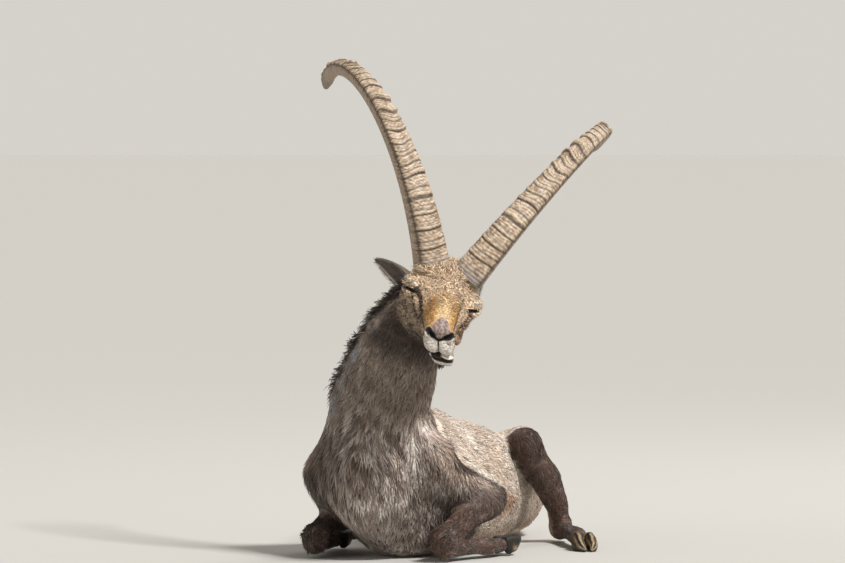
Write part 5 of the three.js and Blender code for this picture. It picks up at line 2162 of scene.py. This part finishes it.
@dataclass
class Coat:
    """The short hair over the whole skin, longer on the chest."""

    skin: Skin
    seed: int = 11
    most: int = 19_000  # tufts in a piece

    def grow(self) -> Roots:
        """Draws roots on the skin, each triangle in the measure of its area and the hair's spacing.

        Returns:
            The roots, without those on the floor and on bare skin.
        """
        rng = np.random.default_rng(self.seed)
        skin = self.skin
        a, b, c = (skin.points[skin.triangles[:, i]] for i in range(3))
        area = 0.5 * np.linalg.norm(np.cross(b - a, c - a), axis=1)
        weights = {part: share[skin.triangles].mean(axis=1) for part, share in skin.weights.items()}
        spacing = sum(share * HAIR[part].spacing for part, share in weights.items())
        wanted = area / spacing**2
        count = int(wanted.sum())
        upto = np.cumsum(wanted)
        drawn = np.searchsorted(upto, (np.arange(count) + rng.uniform(0, 1, count)) * upto[-1] / count)
        u, v = rng.uniform(0, 1, (2, count))
        flip = u + v > 1
        u, v = np.where(flip, 1 - u, u), np.where(flip, 1 - v, v)
        share = np.stack([1 - u - v, u, v], axis=1)
        corners = skin.triangles[np.minimum(drawn, len(area) - 1)]

        def at(values: Array) -> Array:
            """Values of the skin's points at the roots."""
            return np.einsum("nk,nk...->n...", share, values[corners])

        shares = {part: at(v) for part, v in skin.weights.items()}
        roots = Roots(at(skin.points), unit(at(skin.normals)), at(skin.colours), shares)
        height, normal = roots.points[:, 2], roots.normals[:, 2]
        under = (height < 7) | ((height < 26) & (normal < -0.75))
        return roots.pick(~under & ~skin.bare(roots.points))

    @staticmethod
    def scale(roots: Roots) -> tuple[Array, Array, Array]:
        """Longer hair on the chest and throat, shorter on the muzzle and the feet, curls on the forehead.

        Args:
            roots: the roots.

        Returns:
            Factors of the length, the width and the lift.
        """
        p, weights = roots.points, roots.weights
        q = to_head(p)
        head = weights[Part.HEAD]
        chest = smooth(-10.0, 80.0, p[:, 0]) * smooth(470.0, 380.0, p[:, 2]) * (1 - head)
        leg = 1 - weights[Part.TRUNK] - weights[Part.NECK] - head - weights[Part.TAIL]
        foot = leg * smooth(60.0, 30.0, p[:, 2])
        muzzle = head * smooth(60.0, 130.0, q[:, 0])
        fore = head * smooth(30.0, -20.0, q[:, 0]) * smooth(10.0, 40.0, q[:, 2])
        arm = 0.35 * smooth(0.4, 0.8, noise(p, 60, 41))
        length = 1 + 0.75 * chest - 0.35 * foot - 0.55 * muzzle + 0.35 * fore + arm * (1 - head)
        width = 1 + 0.15 * chest - 0.2 * foot - 0.4 * muzzle + 0.15 * fore
        return length, width, 1 + 0.3 * chest - 0.6 * muzzle + 0.5 * fore

    def tufts(self, roots: Roots, rng: np.random.Generator) -> Shape:
        """Short tufts at roots, darker at their roots and paler at their tips as painted shade and light, and
        some of them dark flecks.

        Args:
            roots: where they grow.
            rng: the seeded draw.

        Returns:
            The tufts as one shape.
        """
        count = len(roots.points)
        long, wide, raised = self.scale(roots)
        length = roots.mean("length") * long * rng.uniform(0.7, 1.25, count)
        width = roots.mean("width") * wide * rng.uniform(0.8, 1.25, count)
        lift = roots.mean("lift") * raised * rng.uniform(0.5, 1.6, count)
        way = roots.lie()
        way = unit(way + np.cross(roots.normals, way) * rng.normal(0, 0.22, count)[:, None])
        curl = np.cross(roots.normals, way) * (roots.mean("curl") * rng.normal(0, 1.0, count))[:, None]
        tone = roots.colours * rng.normal(1.0, 0.13, count)[:, None]
        fleck = rng.uniform(0, 1, count) < roots.mean("fleck")
        tone = np.where(fleck[:, None], tone * 0.42, tone)
        # painted shade: tufts darker at their roots, most on the head
        dark = 0.62 - 0.24 * roots.weights[Part.HEAD]
        tufts = Tufts(roots.points, way, roots.normals, length, width, lift, curl, 2)
        return tufts.shape(tone, roots.unwrap(), dark, 1.24)

    def build(self) -> list[tuple[str, str, Shape]]:
        """Makes the coat, cut into pieces along the body.

        Returns:
            A name, a slot and a shape for each piece.
        """
        rng = np.random.default_rng(self.seed + 1)
        roots = self.grow()
        names = {Part.TRUNK: "body", Part.NECK: "neck", Part.HEAD: "head"}
        owner = np.array([names.get(part, "leg") for part in Part])[roots.owner()]
        made = []
        for key in (*names.values(), "leg"):
            index = np.flatnonzero(owner == key)
            index = index[np.argsort(roots.points[index, 0], kind="stable")]
            for number, some in enumerate(np.array_split(index, math.ceil(len(index) / self.most))):
                made.append((f"coat_{key}_{number + 1}", f"coat_{key}", self.tufts(roots.pick(some), rng)))
        return made


@dataclass(frozen=True)
class LongHair:
    """How a long-haired patch grows: length and width of a lock, lift in degrees, its lie and its tone."""

    length: float
    width: float
    lift: float
    lie: Array
    tone: Tone | None = None  # or none, for the markings' own colours


@dataclass
class Mane:
    """The long hair: the ridge of the neck, the beard and the rims of the ears."""

    skin: Skin
    ears: list[Ear]
    seed: int = 23

    def locks(self, start: Array, out: Array, hair: LongHair, rng: np.random.Generator) -> Shape:
        """Locks rooted where rays from inside leave the skin, found by halving.

        Args:
            start: places inside the body.
            out: unit ways of the rays.
            hair: how the locks grow.
            rng: the seeded draw.

        Returns:
            The locks as one shape.
        """
        count = len(start)
        form, markings = self.skin.body.skin, self.skin.markings
        near, far = np.zeros(count), np.full(count, 320.0)
        for _ in range(18):
            half = (near + far) / 2
            inside = form(start + out * half[:, None]) < 0
            near, far = np.where(inside, half, near), np.where(inside, far, half)
        root = start + out * near[:, None]
        normal = unit(slope(form, root))
        weights = markings.weights(root)
        colours = plain(hair.tone, near) if hair.tone else markings.colour(root, weights)
        way = unit(flattened(np.broadcast_to(hair.lie, root.shape), normal))
        side = np.cross(normal, way)
        way = unit(way + side * rng.normal(0, 0.2, count)[:, None])
        length = hair.length * rng.uniform(0.6, 1.2, count)
        width = hair.width * rng.uniform(0.7, 1.2, count)
        lift = hair.lift * (0.4 + 1.3 * noise(root, 15, 33)) * rng.uniform(0.5, 1.5, count)
        bend = side * rng.normal(0, 0.14, count)[:, None]
        tone = colours * rng.normal(1.0, 0.18, count)[:, None]
        uv = Roots(root, normal, colours, weights).unwrap()
        # painted shade and light: locks darker at their roots and paler at their tips
        return Tufts(root, way, normal, length, width, lift, bend, 4).shape(tone, uv, 0.6, 1.25)

    def ridge(self, rng: np.random.Generator) -> Shape:
        """Locks along the back of the neck, which lean down it and stand a little out."""
        count = 2600
        spot = on_path(NECK_SPINE, rng.uniform(0.12, 0.9, count))
        out = unit(MANE_BACK + MANE_SIDE * rng.normal(0, 0.36, count)[:, None])
        return self.locks(spot, out, LongHair(36.0, 3.2, 36.0, 0.25 * MANE_BACK - NECK_WAY), rng)

    def beard(self, rng: np.random.Generator) -> Shape:
        """A short beard behind the chin."""
        count = 260
        x, y = rng.uniform(70, 108, count), rng.normal(0, 6, count)
        start = from_head(np.stack([x, y, np.full(count, -70.0)], 1))
        out = np.broadcast_to(HEAD.turn((0, 0, -1)), start.shape)
        return self.locks(start, out, LongHair(26.0, 3.0, 62.0, HEAD.turn((-0.6, 0, -0.8)), Tone.BEARD), rng)

    @staticmethod
    def ear_hair(ear: Ear, rng: np.random.Generator) -> Shape:
        """Pale hairs that grow towards the tip from the rims and the inner face of an ear.

        Args:
            ear: the ear.
            rng: the seeded draw.

        Returns:
            The hairs as one shape.
        """
        rows, t, v = (grid.reshape(-1, *grid.shape[2:]) for grid in ear.rows(1.0, 70, 34))
        keep = np.where(np.abs(v) > 0.86, 0.9, 0.16) * (t > 0.12) * (t < 0.97)
        pick = np.flatnonzero(rng.uniform(0, 1, len(v)) < keep)
        count = len(pick)
        rows, t, v = rows[pick], t[pick], v[pick]
        roll = ear.roll(t) * v
        rim = smooth(0.8, 0.9, np.abs(v))
        inward = ear.frame().turn(np.stack([np.zeros(count), -np.sin(roll), np.cos(roll)], 1))
        lean = np.stack([np.full(count, 0.8), 0.45 * rim * np.sign(v), 0.1 + 0.3 * rim], 1)
        way = unit(ear.frame().turn(lean))
        inward = unit(flattened(inward, way))
        length = rng.uniform(9, 20, count) * (1.1 - 0.5 * t)
        width = rng.uniform(0.7, 1.3, count)
        lift = rng.uniform(4, 26, count)
        pale = (0.35 + 0.65 * rim) * rng.uniform(0.5, 1.1, count)
        uv = np.stack([0.1 + 0.35 * t, 0.3 + 0.1 * v + (0.3 if ear.side > 0 else 0.0)], 1)
        tufts = Tufts(rows, way, inward, length, width, lift, 0 * inward, 3)
        # painted shade and light: ear hairs darker at their roots and paler at their tips
        return tufts.shape(linear(Tone.EAR_HAIR.value) * pale[:, None], uv, 0.45, 1.1)

    def build(self) -> list[tuple[str, str, Shape]]:
        """The long-haired pieces: a name, a slot and a shape for each."""
        rng = np.random.default_rng(self.seed)
        mane, beard = self.ridge(rng), self.beard(rng)
        left, right = (self.ear_hair(ear, rng) for ear in self.ears)
        return [
            ("mane", "coat_neck", mane),
            ("beard", "coat_head", beard),
            ("ear_hair", "coat_head", left.joined(right)),
        ]


# Studio


@dataclass
class Studio:
    """The floor, the light and the camera at the photograph's viewing angle."""

    azimuth: float = 25.0  # degrees from +X to the camera, towards +Y
    elevation: float = 2.0
    distance: float = 12000.0
    focal: float = 5913.55  # in pixels of the 845 wide picture
    width: float = 845.0
    sensor: float = 36.0
    target: tuple = (-28.34, 14.77, 556.69)
    wall: float = 0.74  # brightness of the surroundings at the horizon, that of the far floor
    sky: float = 0.36  # and higher up

    def build(self) -> None:
        """Makes all of it."""
        bpy.context.scene.view_settings.view_transform = "Standard"
        self.floor()
        self.world()
        self.lights()
        self.camera()

    @staticmethod
    def floor() -> None:
        """A wide disc of pale floor, rings of points at growing radii."""
        sides = 64
        radii = np.array([800.0, 3000.0, 12000.0, 60000.0])
        a = math.tau * np.arange(sides) / sides
        rings = radii[:, None, None] * np.stack([np.cos(a), np.sin(a), 0 * a], -1)
        k = np.arange(sides)
        j = (k + 1) % sides
        faces = [np.stack([np.full(sides, len(radii) * sides), k, j], 1)]
        for r in range(0, sides * (len(radii) - 1), sides):
            far = r + sides
            faces += [np.stack([r + k, far + k, far + j], 1), np.stack([r + k, far + j, r + j], 1)]
        mesh = bpy.data.meshes.new("floor")
        points = np.concatenate([rings.reshape(-1, 3), np.zeros((1, 3))]) * METRES
        mesh.from_pydata(points.tolist(), [], np.concatenate(faces).tolist())
        mesh.materials.append(FloorFinish().make())
        piece = bpy.data.objects.new("floor", mesh)
        bpy.context.scene.collection.objects.link(piece)
        piece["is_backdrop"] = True

    def world(self) -> None:
        """An even pale surrounding, dimmer higher up."""
        world = bpy.data.worlds.new("studio")
        bpy.context.scene.world = world
        world.use_nodes = True
        tree = world.node_tree
        place = add_node(tree, "ShaderNodeTexCoord", {}, {})
        parts = add_node(tree, "ShaderNodeSeparateXYZ", {}, {0: place.outputs["Generated"]})
        span = {"From Min": 0.05, "From Max": 0.35, "To Min": self.wall, "To Max": self.sky}
        height = add_node(tree, "ShaderNodeMapRange", span, {"Value": parts.outputs["Z"]})
        back = tree.nodes["Background"]
        back.inputs["Color"].default_value = (*linear("#f3f0e8"), 1.0)
        tree.links.new(height.outputs["Result"], back.inputs["Strength"])

    def lights(self) -> None:
        """A soft sun high on the camera's right, a weak lamp on its left, and one behind."""
        sun = bpy.data.lights.new("key", "SUN")
        sun.energy = 3.7
        sun.angle = math.radians(9.0)
        self.hang("key", sun, 66.0, 48.0, 5.0)
        for name, turn, rise, far, size, power in (
            ("fill", -30.0, 20.0, 5.0, 3.0, 26.0),
            ("rim", 160.0, 45.0, 4.5, 2.0, 40.0),
        ):
            light = bpy.data.lights.new(name, "AREA")
            light.shape = "DISK"
            light.size = size
            light.energy = power
            self.hang(name, light, turn, rise, far)

    @staticmethod
    def hang(name: str, light: bpy.types.Light, turn: float, rise: float, far: float) -> None:
        """Hangs a light, aimed at the animal.

        Args:
            name: of the lamp.
            light: its light.
            turn: degrees to the left, from the animal.
            rise: degrees up.
            far: distance in metres.
        """
        lamp = bpy.data.objects.new(name, light)
        aim = Vector((-0.05, 0.0, 0.4))
        lamp.location = aim + Vector(heading(turn, rise)) * far
        lamp.rotation_euler = (aim - lamp.location).to_track_quat("-Z", "Y").to_euler()
        bpy.context.scene.collection.objects.link(lamp)

    def camera(self) -> None:
        """The camera, from its angles, distance and focal length."""
        towards = heading(self.azimuth, self.elevation)
        right = heading(self.azimuth + 90.0, 0.0)
        place = np.asarray(self.target) + towards * self.distance
        data = bpy.data.cameras.new("camera")
        data.sensor_width = self.sensor
        data.lens = self.sensor * self.focal / self.width
        data.clip_end = 200.0
        lens = bpy.data.objects.new("camera", data)
        matrix = Matrix(np.stack([right, np.cross(towards, right), towards], axis=1)).to_4x4()
        matrix.translation = Vector(place * METRES)
        lens.matrix_world = matrix
        bpy.context.scene.collection.objects.link(lens)
        bpy.context.scene.camera = lens


# The model


@dataclass
class Ibex:
    """The whole animal."""

    body: Body = field(default_factory=Body)

    def build(self) -> None:
        """Builds each sub-assembly in order."""
        skin = Skin(self.body, Markings(self.body))
        skin.build()
        ears = [
            Ear(1, (-0.97, 0.15, -0.02), (0.1, 0.9, -0.3)),
            Ear(-1, (-0.57, -0.8, 0.16), (0.6, -0.4, -0.2)),
        ]
        shape = Shape(skin.points, skin.triangles, skin.colours)
        for ear in ears:
            shape = shape.joined(ear.shape())
        hide = CoatFinish("short_haired_skin").make()
        shape.make("skin", hide, "coat_body", [*FLESH_NODES, "ear_left", "ear_right"])
        self.horns()
        self.eyes()
        self.hooves()
        fur = CoatFinish("summer_coat_tufts", bump=0.0).make()
        for name, slot, tufts in Coat(skin).build() + Mane(skin, ears).build():
            tufts.make(name, fur, slot, [])

    @staticmethod
    def horns() -> None:
        """Both horns."""
        finish = HornFinish().make()
        for name, horn in (
            ("left", Horn(1, 19.3, 22.5, -9.4)),
            ("right", Horn(-1, 15.5, 31.2, -12.7)),
        ):
            horn.shape().make(f"ridged_horn_{name}", finish, "horn", [f"horn_{name}"])

    @staticmethod
    def eyes() -> None:
        """Both eyeballs."""
        finish = WetFinish().make()
        for name, side in (("left", 1), ("right", -1)):
            Eye(side).shape().make(f"eyeball_{name}", finish, "eye", [f"eye_{name}"])

    @staticmethod
    def hooves() -> None:
        """The eight claws as pieces of their own: soles up on the forefeet, and down on the hind feet."""
        finish = HornFinish("worn_hoof_horn", 2.2).make()
        feet = []
        for word, limb in FORE_LIMBS.items():
            fetlock, foot = limb.foot()
            toe = unit(foot - fetlock)
            frame = Frame(foot + point(-8, 0, 19), np.stack([toe, unit(np.cross(toe, UP)), -UP]))
            feet.append(Foot(frame, 58.0, f"foreleg_{word}"))
        for word, limb in HIND_LIMBS.items():
            foot = limb.foot()[2]
            toe = heading(limb.turn, 0)
            place = point(foot[0] + toe[0] * 6, foot[1] + toe[1] * 6, 0.7)
            feet.append(Foot(Frame(place, np.stack([toe, np.cross(UP, toe), UP])), 62.0, f"hindleg_{word}"))
        for foot in feet:
            for word, hand in (("outer", 1), ("inner", -1)):
                node = f"{foot.name}_claw_{word}"
                foot.claw(hand).make(f"hoof_{node}", finish, "hoof", [node])


def corners() -> list[list[float]]:
    """The lowest and highest corner of what is shown, as plain lists."""
    return [list(corner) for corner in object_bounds()]


def main() -> None:
    """Loads the frame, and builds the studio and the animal."""
    logging.basicConfig(level=logging.INFO, format="%(message)s")
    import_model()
    Studio().build()
    Ibex().build()


if __name__ == "__main__":
    main()
